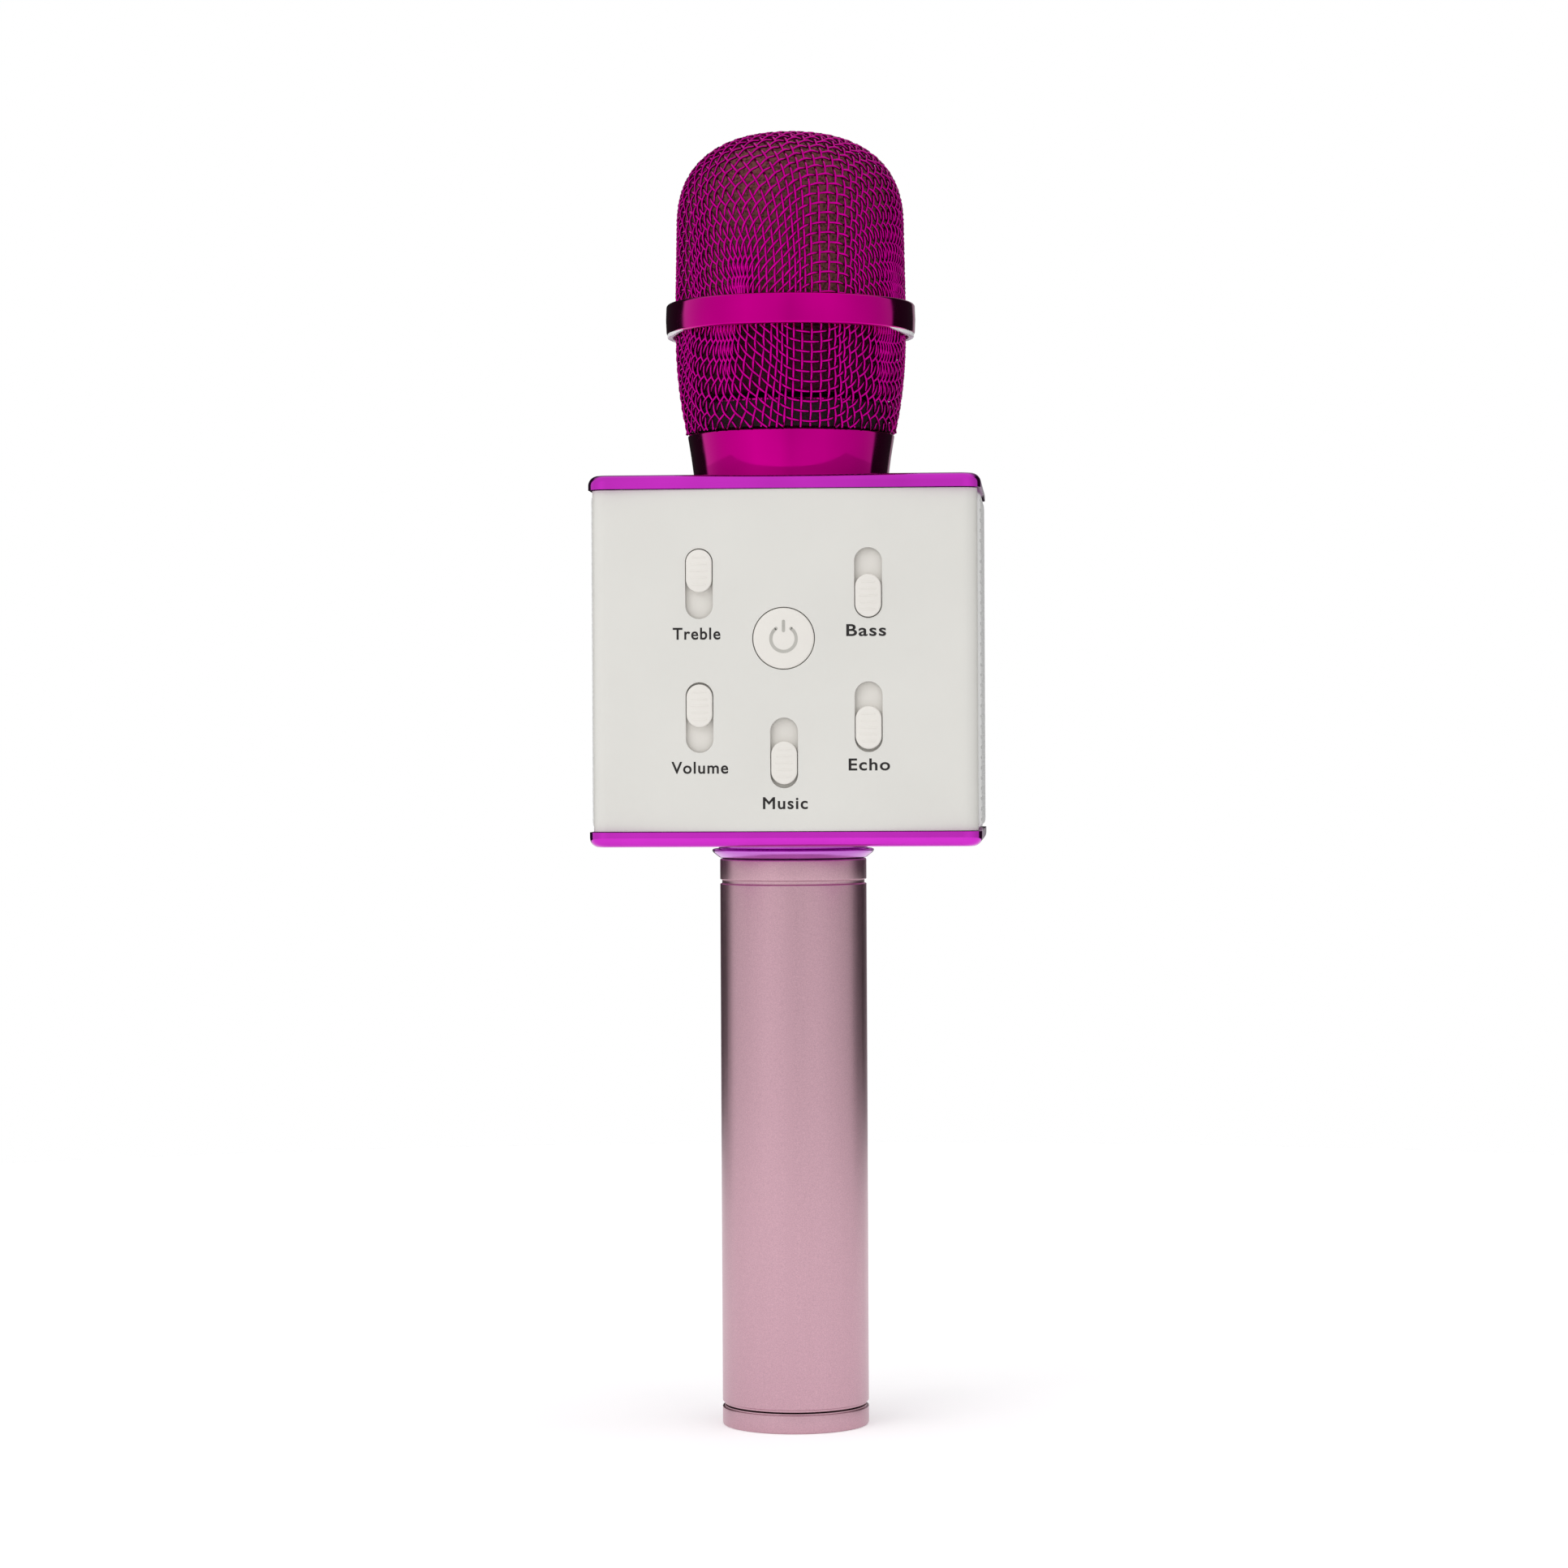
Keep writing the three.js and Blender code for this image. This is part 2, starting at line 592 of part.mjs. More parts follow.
// [radius, height] points of the upper basket's outside, from its rim to its top, shrunk by inset.
function upperProfile(inset, steps = 9) {
  const points = [];
  points.push([UPPER.radius - inset, UPPER.bottom + GAP]);
  points.push([UPPER.radius - inset, 230]);
  for (let step = 0; step <= steps; step += 1) {
    const angle = (Math.PI / 2) * (step / steps);
    const out = Math.cos(angle) ** (2 / UPPER.power);
    const up = Math.sin(angle) ** (2 / UPPER.power);
    const radius = step === steps ? 0 : (UPPER.shoulderRadius - inset) * out;
    points.push([radius, UPPER.shoulder + (UPPER.rise - inset) * up]);
  }
  return points;
}

function lowerProfile(inset, bottom, top, steps = 4) {
  const points = [];
  for (let step = 0; step <= steps; step += 1) {
    const z = bottom + ((top - bottom) * step) / steps;
    points.push([lowerRadius(z) - inset, z]);
  }
  return points;
}

function makeNeck() {
  const { bottom, top, low, high, bore, spigot, spigotTop } = NECK;
  const neck = [
    [bore, bottom],
    [low, bottom],
    [(low + high) / 2 - 0.1, (bottom + top) / 2],
    [high, top - 0.5],
    [high - 0.4, top - 0.1],
    [spigot, top - 0.1],
    [spigot, spigotTop],
    [bore, spigotTop],
  ];
  add("neck_cone", turnedRing(neck), FINISH.magentaPlating);

  const { bore: tubeBore, wall, flangeZ } = HOLDER;
  const cupFloor = CAPSULE.bottom - GAP;
  const cupBore = CAPSULE.radius + GAP;
  const holder = [
    [tubeBore, flangeZ],
    [bore - GAP, flangeZ],
    [bore - GAP, flangeZ + wall],
    [tubeBore + wall, flangeZ + wall],
    [tubeBore + wall, cupFloor - 3],
    [HOLDER.radius, cupFloor - 1.2],
    [HOLDER.radius, HOLDER.top],
    [cupBore, HOLDER.top],
    [cupBore, cupFloor],
    [tubeBore, cupFloor],
  ];
  add("capsule_holder", turnedRing(holder, 20), FINISH.blackPlastic);
  add("capsule", rod(CAPSULE.radius, CAPSULE.bottom, CAPSULE.top, 24), FINISH.steel);
}

function makeHead() {
  const rim = LOWER.bottom + 0.2;
  const lowOuter = lowerProfile(0, rim, LOWER.top - GAP);
  const lowInner = lowerProfile(BASKET_WALL, rim, LOWER.top - GAP).reverse();
  add("lower_basket", turnedRing([...lowOuter, ...lowInner]), FINISH.magentaPlating);

  const { bottom, top, radius, bore, edge } = BAND;
  const band = [
    [bore, bottom],
    [radius - edge, bottom],
    [radius - edge * 0.3, bottom + edge * 0.3],
    [radius, bottom + edge],
    [radius, top - edge],
    [radius - edge * 0.3, top - edge * 0.3],
    [radius - edge, top],
    [bore, top],
  ];
  add("head_band", turnedRing(band), FINISH.magentaPlating);

  const outer = upperProfile(0);
  const inner = upperProfile(BASKET_WALL).reverse();
  add("upper_basket", turned([...inner, ...outer]), FINISH.magentaPlating);

  const ring = [
    [THREAD_RING.bore, THREAD_RING.bottom],
    [THREAD_RING.radius, THREAD_RING.bottom],
    [THREAD_RING.radius, THREAD_RING.top],
    [THREAD_RING.bore, THREAD_RING.top],
  ];
  add("head_thread_ring", turnedRing(ring), FINISH.blackPlastic);

  const inset = BASKET_WALL + FOAM.clear;
  const foam = [
    [0, FOAM.boreTop],
    [FOAM.bore, FOAM.boreTop - 3],
    [FOAM.bore, FOAM.bottom],
    ...lowerProfile(inset, FOAM.bottom, LOWER.top, 3),
    ...upperProfile(inset, 7).slice(1),
  ];
  add("foam_windscreen", turned(foam), FINISH.foam);
}

makeHandle();
makeEndCap();
makePlates();
makeShells();
makeGrille(1, "side_grille_right");
makeGrille(-1, "side_grille_left");
makeSpeaker(1, "right");
makeSpeaker(-1, "left");
SLIDERS.forEach(makeSlider);
makePowerButton();
makeBoards();
makeLeads();
makeNeck();
makeHead();

export default microphone;
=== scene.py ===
"""Karaoke microphone: woven wire head, control box with sliders and loudspeakers, round handle."""
import json
import math
from functools import cache

import bmesh
import bpy
import numpy
from bpy.props import FloatProperty, FloatVectorProperty, IntProperty, PointerProperty
from mathutils import Matrix, Vector, noise


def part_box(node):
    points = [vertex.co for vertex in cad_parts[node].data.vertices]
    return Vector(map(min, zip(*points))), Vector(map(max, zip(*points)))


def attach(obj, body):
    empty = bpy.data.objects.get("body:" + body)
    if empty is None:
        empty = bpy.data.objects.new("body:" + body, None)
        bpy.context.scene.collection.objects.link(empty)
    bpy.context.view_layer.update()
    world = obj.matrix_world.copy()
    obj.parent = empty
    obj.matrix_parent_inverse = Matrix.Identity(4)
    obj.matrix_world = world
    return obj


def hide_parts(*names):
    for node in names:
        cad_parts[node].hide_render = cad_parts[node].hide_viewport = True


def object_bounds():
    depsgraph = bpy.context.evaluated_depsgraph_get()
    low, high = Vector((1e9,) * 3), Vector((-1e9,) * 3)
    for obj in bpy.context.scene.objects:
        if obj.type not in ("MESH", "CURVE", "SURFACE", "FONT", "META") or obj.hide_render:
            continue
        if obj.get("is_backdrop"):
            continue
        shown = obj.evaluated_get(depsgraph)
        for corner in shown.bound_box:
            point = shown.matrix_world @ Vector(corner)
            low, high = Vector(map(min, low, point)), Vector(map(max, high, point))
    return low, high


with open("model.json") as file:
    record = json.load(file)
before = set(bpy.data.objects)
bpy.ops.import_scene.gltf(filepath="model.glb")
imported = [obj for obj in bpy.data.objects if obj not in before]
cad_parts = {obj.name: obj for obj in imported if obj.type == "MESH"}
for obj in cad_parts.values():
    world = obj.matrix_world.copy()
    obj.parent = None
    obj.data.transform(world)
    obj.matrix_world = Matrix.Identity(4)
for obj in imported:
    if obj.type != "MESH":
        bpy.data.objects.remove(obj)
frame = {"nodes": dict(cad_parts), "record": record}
CAD_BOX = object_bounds()

bl_info = {
    "name": "Karaoke microphone",
    "version": (1, 0, 0),
    "blender": (4, 5, 0),
    "location": "View3D > Sidebar > Microphone",
    "description": "Builds the visible pieces of a karaoke microphone around its packed frame",
    "category": "Add Mesh",
}

MM = 0.001
FULL_TURN = 2 * math.pi
SLIDERS = ("treble", "bass", "volume", "echo", "music")


# ---- sizes and colours ----------------------------------------------------------------------
def length(name, description, millimetres):
    return FloatProperty(
        name=name, description=description, default=millimetres * MM, unit="LENGTH", precision=5
    )


def colour(name, description, value):
    return FloatVectorProperty(
        name=name, description=description, default=value, subtype="COLOR", min=0, max=1
    )


class MicrophoneSizes(bpy.types.PropertyGroup):
    wire: length("Wire radius", "Radius of the wire that both baskets are woven from", 0.25)
    pitch: length("Weave pitch", "Distance between neighbouring wires", 1.95)
    hole: length("Grille hole", "Radius of each hole in the side grilles", 0.46)
    hole_pitch: length("Hole pitch", "Distance between holes in a column of a side grille", 2.03)
    slot_width: length("Slot width", "Width of each slider slot", 5.4)
    slot_length: length("Slot length", "Height of each slider slot", 13.8)
    letter: length("Letter height", "Height of the capitals under the sliders", 2.38)
    crown: length("Panel crown", "How far the middle of each panel stands out from its edges", 0.8)
    wall: length("Panel wall", "Thickness of the front and rear shells", 1.2)
    camera_distance: FloatProperty(
        name="Camera distance", description="From the handle's axis", default=0.84, unit="LENGTH"
    )
    turn_steps: IntProperty(
        name="Turning steps", description="Sides of a large turned piece", default=128, min=12
    )


class MicrophoneColours(bpy.types.PropertyGroup):
    magenta: colour("Magenta plating", "Head, band and neck", (0.52, 0.0, 0.235))
    wire: colour("Wire plating", "Woven wire of the head", (0.56, 0.0, 0.285))
    purple: colour("Purple plating", "Plates of the box", (0.56, 0.03, 0.53))
    collar: colour("Collar plating", "Disc between box and handle", (0.53, 0.156, 0.604))
    rose: colour("Rose aluminium", "Handle", (0.55, 0.34, 0.40))
    panel: colour("Panel white", "Front and rear shells", (0.635, 0.625, 0.592))
    knob: colour("Knob white", "Slider knobs and power button", (0.70, 0.675, 0.635))
    mesh_white: colour("Grille white", "Perforated side grilles", (0.68, 0.68, 0.67))
    symbol: colour("Symbol grey", "Power symbol", (0.40, 0.39, 0.36))
    ink: colour("Ink", "Printed words", (0.012, 0.010, 0.010))
    foam: colour("Foam brown", "Windscreen", (0.17, 0.050, 0.056))


def sizes():
    return bpy.context.scene.microphone_sizes


def colours():
    return bpy.context.scene.microphone_colours


# ---- places taken from the frame --------------------------------------------------------------
@cache
def corners_of(node):
    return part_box(node)


def low(node):
    return Vector(corners_of(node)[0])


def high(node):
    return Vector(corners_of(node)[1])


def middle(node):
    return (low(node) + high(node)) / 2


def radius_of(node):
    return (high(node).x - low(node).x) / 2


# ---- bmesh tools --------------------------------------------------------------------------------
def make_piece(bm, name, finish, body, replaces=(), sharp=35):
    """Turns bm into an object that rides on a body, and stands for the CAD nodes it replaces.

    finish names the material.
    """
    bmesh.ops.remove_doubles(bm, verts=bm.verts, dist=1e-7)
    mesh = bpy.data.meshes.new(name)
    bm.to_mesh(mesh)
    bm.free()
    mesh.shade_smooth()
    mesh.set_sharp_from_angle(angle=math.radians(sharp))
    piece = bpy.data.objects.new(name, mesh)
    bpy.context.scene.collection.objects.link(piece)
    mesh.materials.append(material(finish))
    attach(piece, body)
    if replaces:
        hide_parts(*replaces)
    return piece


def wire_outline(bm, points, closed, segments=5):
    """A wire through (x, y, z, rounding) points, each corner rounded by its own amount."""
    verts = [bm.verts.new(point[:3]) for point in points]
    pairs = list(zip(verts, verts[1:]))
    if closed:
        pairs.append((verts[-1], verts[0]))
    for pair in pairs:
        bm.edges.new(pair)
    for vert, point in zip(verts, points):
        if point[3] > 0:
            bevel(bm, [vert], point[3], segments, "VERTICES")
    return list(bm.verts) + list(bm.edges)


def bevel(bm, geom, width, segments, affect="EDGES"):
    return bmesh.ops.bevel(
        bm, geom=geom, offset=width, offset_type="OFFSET", segments=segments, profile=0.5,
        affect=affect, clamp_overlap=True, material=-1,
    )


def turned(points, closed=True, steps=None, segments=5):
    """A piece turned round the handle's axis from (radius, height, rounding) points in mm."""
    bm = bmesh.new()
    outline = [(radius * MM, 0, height * MM, rounding * MM) for radius, height, rounding in points]
    geom = wire_outline(bm, outline, closed, segments)
    bmesh.ops.spin(
        bm, geom=geom, cent=(0, 0, 0), axis=(0, 0, 1), angle=FULL_TURN,
        steps=steps or sizes().turn_steps, use_merge=True,
    )
    bmesh.ops.remove_doubles(bm, verts=bm.verts, dist=1e-7)
    bmesh.ops.recalc_face_normals(bm, faces=bm.faces)
    return bm


TO_FRONT = Matrix.Rotation(math.pi / 2, 3, "X")
TO_BACK = Matrix.Rotation(-math.pi / 2, 3, "X")


def laid(bm, turn, place):
    """The bmesh turned from the Z axis to look forward or back, and moved to its place."""
    bmesh.ops.rotate(bm, verts=bm.verts, cent=(0, 0, 0), matrix=turn)
    bmesh.ops.translate(bm, verts=bm.verts, vec=place)
    return bm


def thread(radius, depth, bottom, top, pitch, steps=72):
    """A screw thread's ridge, wound up the outside of a cylinder."""
    bm = bmesh.new()
    half = pitch * 0.36
    tooth = [(radius - 0.1, -half), (radius, -half), (radius + depth, -half * 0.3)]
    tooth += [(r, -z) for r, z in reversed(tooth)]
    verts = [bm.verts.new((r * MM, 0, (bottom + half + z) * MM)) for r, z in tooth]
    face = bm.faces.new(verts)
    turns = (top - bottom - 2 * half) / pitch
    count = max(8, round(turns * steps))
    bmesh.ops.spin(
        bm, geom=[face], cent=(0, 0, 0), axis=(0, 0, 1), angle=FULL_TURN * turns,
        dvec=(0, 0, pitch * turns * MM / count), steps=count,
    )
    bmesh.ops.recalc_face_normals(bm, faces=bm.faces)
    return bm


def merge(target, *others):
    """Adds other bmeshes to target and frees them."""
    for other in others:
        scratch = bpy.data.meshes.new("scratch")
        other.to_mesh(scratch)
        other.free()
        target.from_mesh(scratch)
        bpy.data.meshes.remove(scratch)
    return target


def upright_oval(bm, width, height, place, segments):
    """An oval face in X and Z with straight sides, its middle at place."""
    half_step = Matrix.Rotation(math.pi / segments, 4, "Z")
    lay = Matrix.Translation(place) @ Matrix.Rotation(math.pi / 2, 4, "X") @ half_step
    made = bmesh.ops.create_circle(bm, cap_ends=True, radius=width / 2, segments=segments, matrix=lay)
    straight = (height - width) / 2
    for vert in made["verts"]:
        vert.co.z += math.copysign(straight, vert.co.z - place.z)


def push(bm, faces, step):
    """Extrudes faces by a step and gives the faces at the far end."""
    result = bmesh.ops.extrude_face_region(bm, geom=faces)
    moved = [item for item in result["geom"] if isinstance(item, bmesh.types.BMVert)]
    bmesh.ops.translate(bm, verts=moved, vec=step)
    return [item for item in result["geom"] if isinstance(item, bmesh.types.BMFace)]


def push_on(bm, faces, step):
    """Extrudes the end faces of a solid further, leaving no wall inside."""
    ends = push(bm, faces, step)
    bmesh.ops.delete(bm, geom=faces, context="FACES_ONLY")
    return ends


def rim_edges(faces):
    """Edges round the outside of a set of faces."""
    chosen = set(faces)
    return [edge for face in faces for edge in face.edges if sum(f in chosen for f in edge.link_faces) == 1]


def oval_block(width, height, front, back, x, z, rounding=0.0, segments=48):
    """An upright oval block between two depths, its front edge rounded."""
    bm = bmesh.new()
    upright_oval(bm, width, height, Vector((x, back, z)), segments)
    fronts = push(bm, bm.faces[:], Vector((0, front - back, 0)))
    bmesh.ops.recalc_face_normals(bm, faces=bm.faces)
    if rounding > 0:
        fronts = [face for face in bm.faces if face.normal.y < -0.9]
        bevel(bm, rim_edges(fronts), rounding, 4)
    return bm


def boxed(x0, x1, y0, y1, z0, z1, rounding=0.0, segments=2):
    bm = bmesh.new()
    size = Vector((x1 - x0, y1 - y0, z1 - z0))
    centre = Vector((x0 + x1, y0 + y1, z0 + z1)) / 2
    bmesh.ops.create_cube(bm, size=1, matrix=Matrix.Translation(centre) @ Matrix.Diagonal((*size, 1)))
    if rounding > 0:
        bevel(bm, bm.edges[:], rounding, segments)
    return bm


def cut_away(bm, cutters):
    """Takes the cutters, each a closed bmesh, out of bm."""
    objects = []
    for index, source in enumerate([bm, *cutters]):
        mesh = bpy.data.meshes.new(f"cutting_{index}")
        source.to_mesh(mesh)
        source.free()
        item = bpy.data.objects.new(f"cutting_{index}", mesh)
        bpy.context.scene.collection.objects.link(item)
        objects.append(item)
    base, *tools = objects
    for tool in tools:
        modifier = base.modifiers.new("cut", "BOOLEAN")
        modifier.operation = "DIFFERENCE"
        modifier.solver = "MANIFOLD"
        modifier.object = tool
    evaluated = base.evaluated_get(bpy.context.evaluated_depsgraph_get())
    result = bmesh.new()
    result.from_mesh(evaluated.to_mesh())
    evaluated.to_mesh_clear()
    for item in objects:
        mesh = item.data
        bpy.data.objects.remove(item)
        bpy.data.meshes.remove(mesh)
    return result


# ---- materials ----------------------------------------------------------------------------------
def levels_node(tree, source, start, end, to_start=0.0, to_end=1.0):
    """Maps a value from one range to another, held inside it."""
    remap = tree.nodes.new("ShaderNodeMapRange")
    for index, value in enumerate((start, end, to_start, to_end), start=1):
        remap.inputs[index].default_value = value
    tree.links.new(source, remap.inputs["Value"])
    return remap.outputs["Result"]


def mix_node(tree, factor, first, second):
    """Mixes two colours, each of them a socket or a value."""
    mix = tree.nodes.new("ShaderNodeMix")
    mix.data_type = "RGBA"
    tree.links.new(factor, mix.inputs["Factor"])
    ends = [socket for socket in mix.inputs if socket.type == "RGBA"]
    for socket, value in zip(ends, (first, second)):
        if isinstance(value, bpy.types.NodeSocket):
            tree.links.new(value, socket)
        else:
            socket.default_value = (*value, 1)
    return next(socket for socket in mix.outputs if socket.type == "RGBA")


class Finish:
    """A node material on Object coordinates, built up one layer at a time."""

    def __init__(self, name, base, metallic=0.0, roughness=0.5):
        self.material = bpy.data.materials.new(name)
        self.material.use_nodes = True
        self.tree = self.material.node_tree
        self.shader = self.tree.nodes["Principled BSDF"]
        self.shader.inputs["Base Color"].default_value = (*base, 1)
        self.shader.inputs["Metallic"].default_value = metallic
        self.shader.inputs["Roughness"].default_value = roughness
        self.place = self.add("ShaderNodeTexCoord").outputs["Object"]
        self.normal = None

    def add(self, kind, **inputs):
        node = self.tree.nodes.new(kind)
        for name, value in inputs.items():
            node.inputs[name.replace("_", " ")].default_value = value
        return node

    def link(self, start, end):
        self.tree.links.new(start, end)

    def noise(self, scale, detail=3.0, roughness=0.5, stretch=(1, 1, 1)):
        mapping = self.add("ShaderNodeMapping", Scale=stretch)
        self.link(self.place, mapping.inputs["Vector"])
        noise = self.add("ShaderNodeTexNoise", Scale=scale, Detail=detail, Roughness=roughness)
        self.link(mapping.outputs["Vector"], noise.inputs["Vector"])
        return noise.outputs["Fac"]

    def cells(self, scale, randomness=1.0):
        cells = self.add("ShaderNodeTexVoronoi", Scale=scale, Randomness=randomness)
        self.link(self.place, cells.inputs["Vector"])
        return cells.outputs["Distance"]

    def levels(self, source, *ends):
        return levels_node(self.tree, source, *ends)

    def tint(self, factor, first, second):
        """Base colour between two colours by a factor."""
        result = mix_node(self.tree, factor, first, second)
        self.link(result, self.shader.inputs["Base Color"])
        return result

    def vary(self, socket, source, start, end, to_start, to_end):
        """Drives a shader socket by a texture between two values."""
        self.link(self.levels(source, start, end, to_start, to_end), self.shader.inputs[socket])

    def bump(self, height, strength, distance):
        bump = self.add("ShaderNodeBump", Strength=strength, Distance=distance)
        self.link(height, bump.inputs["Height"])
        if self.normal is not None:
            self.link(self.normal, bump.inputs["Normal"])
        self.normal = bump.outputs["Normal"]
        self.link(self.normal, self.shader.inputs["Normal"])


def shade(base, amount):
    return tuple(max(0.0, min(1.0, channel * amount)) for channel in base)


def plating(name, base, roughness=0.07):
    """Vacuum plated plastic: mirror bright, a slow orange peel, and a few dust pits."""
    finish = Finish(name, base, 1.0, roughness)
    cloud = finish.noise(55, 2)
    finish.tint(finish.levels(cloud, 0.35, 0.65), shade(base, 0.94), shade(base, 1.05))
    finish.vary("Roughness", finish.noise(240, 4), 0.35, 0.7, roughness, roughness * 1.9)
    finish.bump(finish.noise(130, 1), 0.05, 0.0006)
    pits = finish.levels(finish.cells(520), 0.03, 0.09)
    finish.bump(pits, 0.10, 0.00004)
    return finish.material


def woven_wire(name, base):
    """Plated wire: bright where it looks out of the basket; painted shade darkens its flanks and its inner
    side.
    """
    finish = Finish(name, base, 1.0, 0.20)
    split = finish.add("ShaderNodeSeparateXYZ")
    finish.link(finish.place, split.inputs["Vector"])
    shoulder = high("upper_basket").z - DOME_RISE * MM
    above = finish.levels(split.outputs["Z"], shoulder, shoulder + 1.0, 0.0, 1.0)
    outward = finish.add("ShaderNodeCombineXYZ")
    finish.link(split.outputs["X"], outward.inputs["X"])
    finish.link(split.outputs["Y"], outward.inputs["Y"])
    finish.link(above, outward.inputs["Z"])
    unit = finish.add("ShaderNodeVectorMath")
    unit.operation = "NORMALIZE"
    finish.link(outward.outputs["Vector"], unit.inputs[0])
    facing = finish.add("ShaderNodeVectorMath")
    facing.operation = "DOT_PRODUCT"
    finish.link(unit.outputs["Vector"], facing.inputs[0])
    finish.link(finish.add("ShaderNodeTexCoord").outputs["Normal"], facing.inputs[1])
    cloud = finish.noise(900, 2)
    bright = finish.tint(finish.levels(cloud, 0.35, 0.7), shade(base, 0.88), shade(base, 1.15))
    # painted shade: the colour falls to 0.22 of the plating where the wire turns away from the basket's
    # outside, where the wires shade each other
    finish.tint(finish.levels(facing.outputs["Value"], 0.15, 0.8), shade(base, 0.22), bright)
    finish.vary("Roughness", finish.noise(2600, 2), 0.3, 0.7, 0.14, 0.28)
    finish.bump(finish.noise(3800, 2), 0.12, 0.00004)
    return finish.material


def blasted_aluminium(name, base):
    """Bead blasted and dyed aluminium: fine even grain and faint lengthwise draw lines."""
    finish = Finish(name, base, 1.0, 0.32)
    grain = finish.noise(5200, 3, 0.6)
    streaks = finish.noise(900, 2, 0.5, (1, 1, 0.02))
    finish.tint(finish.levels(grain, 0.3, 0.7), shade(base, 0.86), shade(base, 1.12))
    finish.vary("Roughness", streaks, 0.3, 0.7, 0.29, 0.35)
    finish.bump(grain, 0.35, 0.00005)
    return finish.material


def satin_plastic(name, base, roughness=0.42):
    """Moulded plastic: satin, a fine spark texture and slow unevenness."""
    finish = Finish(name, base, 0.0, roughness)
    finish.shader.inputs["IOR"].default_value = 1.46
    cloud = finish.noise(38, 3)
    finish.tint(finish.levels(cloud, 0.3, 0.7), shade(base, 0.975), shade(base, 1.015))
    finish.vary("Roughness", finish.noise(420, 3), 0.3, 0.7, roughness * 0.9, roughness * 1.15)
    finish.bump(finish.noise(6500, 2), 0.10, 0.00003)
    return finish.material


def foam_material(name, base):
    """Open-cell foam: painted shade darkens the pores, painted glints light the pale struts, and painted
    shade darkens it low down, tinted maroon as a painted reflection of the magenta wires.
    """
    finish = Finish(name, base, 0.0, 0.85)
    finish.shader.inputs["Specular IOR Level"].default_value = 0.12
    pores = finish.cells(1500)
    struts = finish.noise(2600, 3, 0.7)
    # painted shade and light: the pores are darkened to 0.45 of the foam brown, and the struts between them
    # are lightened to 1.35 of it
    pore_shaded_tone = finish.tint(finish.levels(pores, 0.18, 0.62), shade(base, 0.45), shade(base, 1.35))
    # painted glints: pale pink specks on the fine struts stand in for light catching them
    painted_glint_mask = finish.levels(struts, 0.64, 0.72)
    lit = finish.tint(painted_glint_mask, pore_shaded_tone, (0.40, 0.17, 0.17))
    split = finish.add("ShaderNodeSeparateXYZ")
    finish.link(finish.place, split.inputs["Vector"])
    band = high("head_band").z
    low_down = finish.levels(split.outputs["Z"], band + 1.5 * MM, band - 3 * MM)
    # painted shade below the band, in a maroon tint that is a painted reflection of the magenta wires
    finish.tint(low_down, lit, (0.045, 0.001, 0.014))
    finish.link(finish.levels(low_down, 0, 1, 0.85, 0.30), finish.shader.inputs["Roughness"])
    finish.bump(pores, 0.8, 0.0004)
    finish.bump(struts, 0.6, 0.0002)
    return finish.material


def plain_finish(name, base, metallic, roughness, grain=1800, depth=0.00003):
    """Parts that work out of sight: a moulded or drawn surface with slight unevenness."""
    finish = Finish(name, base, metallic, roughness)
    finish.shader.inputs["Specular IOR Level"].default_value = 0.3
    cloud = finish.noise(grain / 12, 3)
    finish.tint(finish.levels(cloud, 0.3, 0.7), shade(base, 0.85), shade(base, 1.12))
    finish.vary("Roughness", finish.noise(grain, 2), 0.3, 0.7, roughness * 0.85, min(1, roughness * 1.2))
    finish.bump(finish.noise(grain * 2, 2), 0.2, depth)
    return finish.material


PLAIN_FINISHES = {
    # name: colour, metallic, roughness, and for the cloth the scale and depth of its grain
    "seal_rubber": ((0.80, 0.80, 0.80), 0.0, 0.5),
    "speaker_cloth": ((0.012, 0.012, 0.013), 0.0, 0.9, 3000, 0.0001),
    # black_plastic's maroon tint is a painted reflection: it stands in for the magenta light that the plated
    # head throws on the thread ring inside it
    "black_plastic": ((0.020, 0.003, 0.009), 0.0, 0.7),
    "steel": ((0.62, 0.62, 0.64), 1.0, 0.28),
    "brass": ((0.78, 0.57, 0.25), 1.0, 0.25),
    "circuit_board": ((0.015, 0.12, 0.045), 0.0, 0.4),
    "cone_paper": ((0.02, 0.02, 0.022), 0.0, 0.85),
    "cell_sleeve": ((0.03, 0.13, 0.42), 0.0, 0.3),
    "lead_sleeve": ((0.42, 0.012, 0.012), 0.0, 0.4),
}


@cache
def material(name):
    """The finish of that name, made the first time it is asked for."""
    if name in PLAIN_FINISHES:
        return plain_finish(name, *PLAIN_FINISHES[name])
    tone = colours()
    makers = {
        "magenta_plating": (plating, tone.magenta),
        "woven_wire": (woven_wire, tone.wire),
        "purple_plating": (plating, tone.purple),
        "collar_plating": (plating, tone.collar, 0.12),
        "rose_aluminium": (blasted_aluminium, tone.rose),
        "white_panel": (satin_plastic, tone.panel),
        "knob_plastic": (satin_plastic, tone.knob, 0.38),
        "white_mesh": (satin_plastic, tone.mesh_white, 0.30),
        "foam": (foam_material, tone.foam),
        "symbol_ink": (plain_finish, tone.symbol, 0.0, 0.5),
        "letter_ink": (plain_finish, tone.ink, 0.0, 0.45),
    }
    make, *values = makers[name]
    return make(name, *values)


# ---- woven baskets ------------------------------------------------------------------------------
def superellipse(radius, rise, power, steps):
    """(radius, height) from the pole of a dome down to its widest place, height 0."""
    points = []
    for step in range(steps + 1):
        angle = math.pi / 2 * (1 - step / steps)
        out = max(0.0, math.cos(angle)) ** (2 / power)
        up = math.sin(angle) ** (2 / power)
        points.append((radius * out, rise * up))
    return points


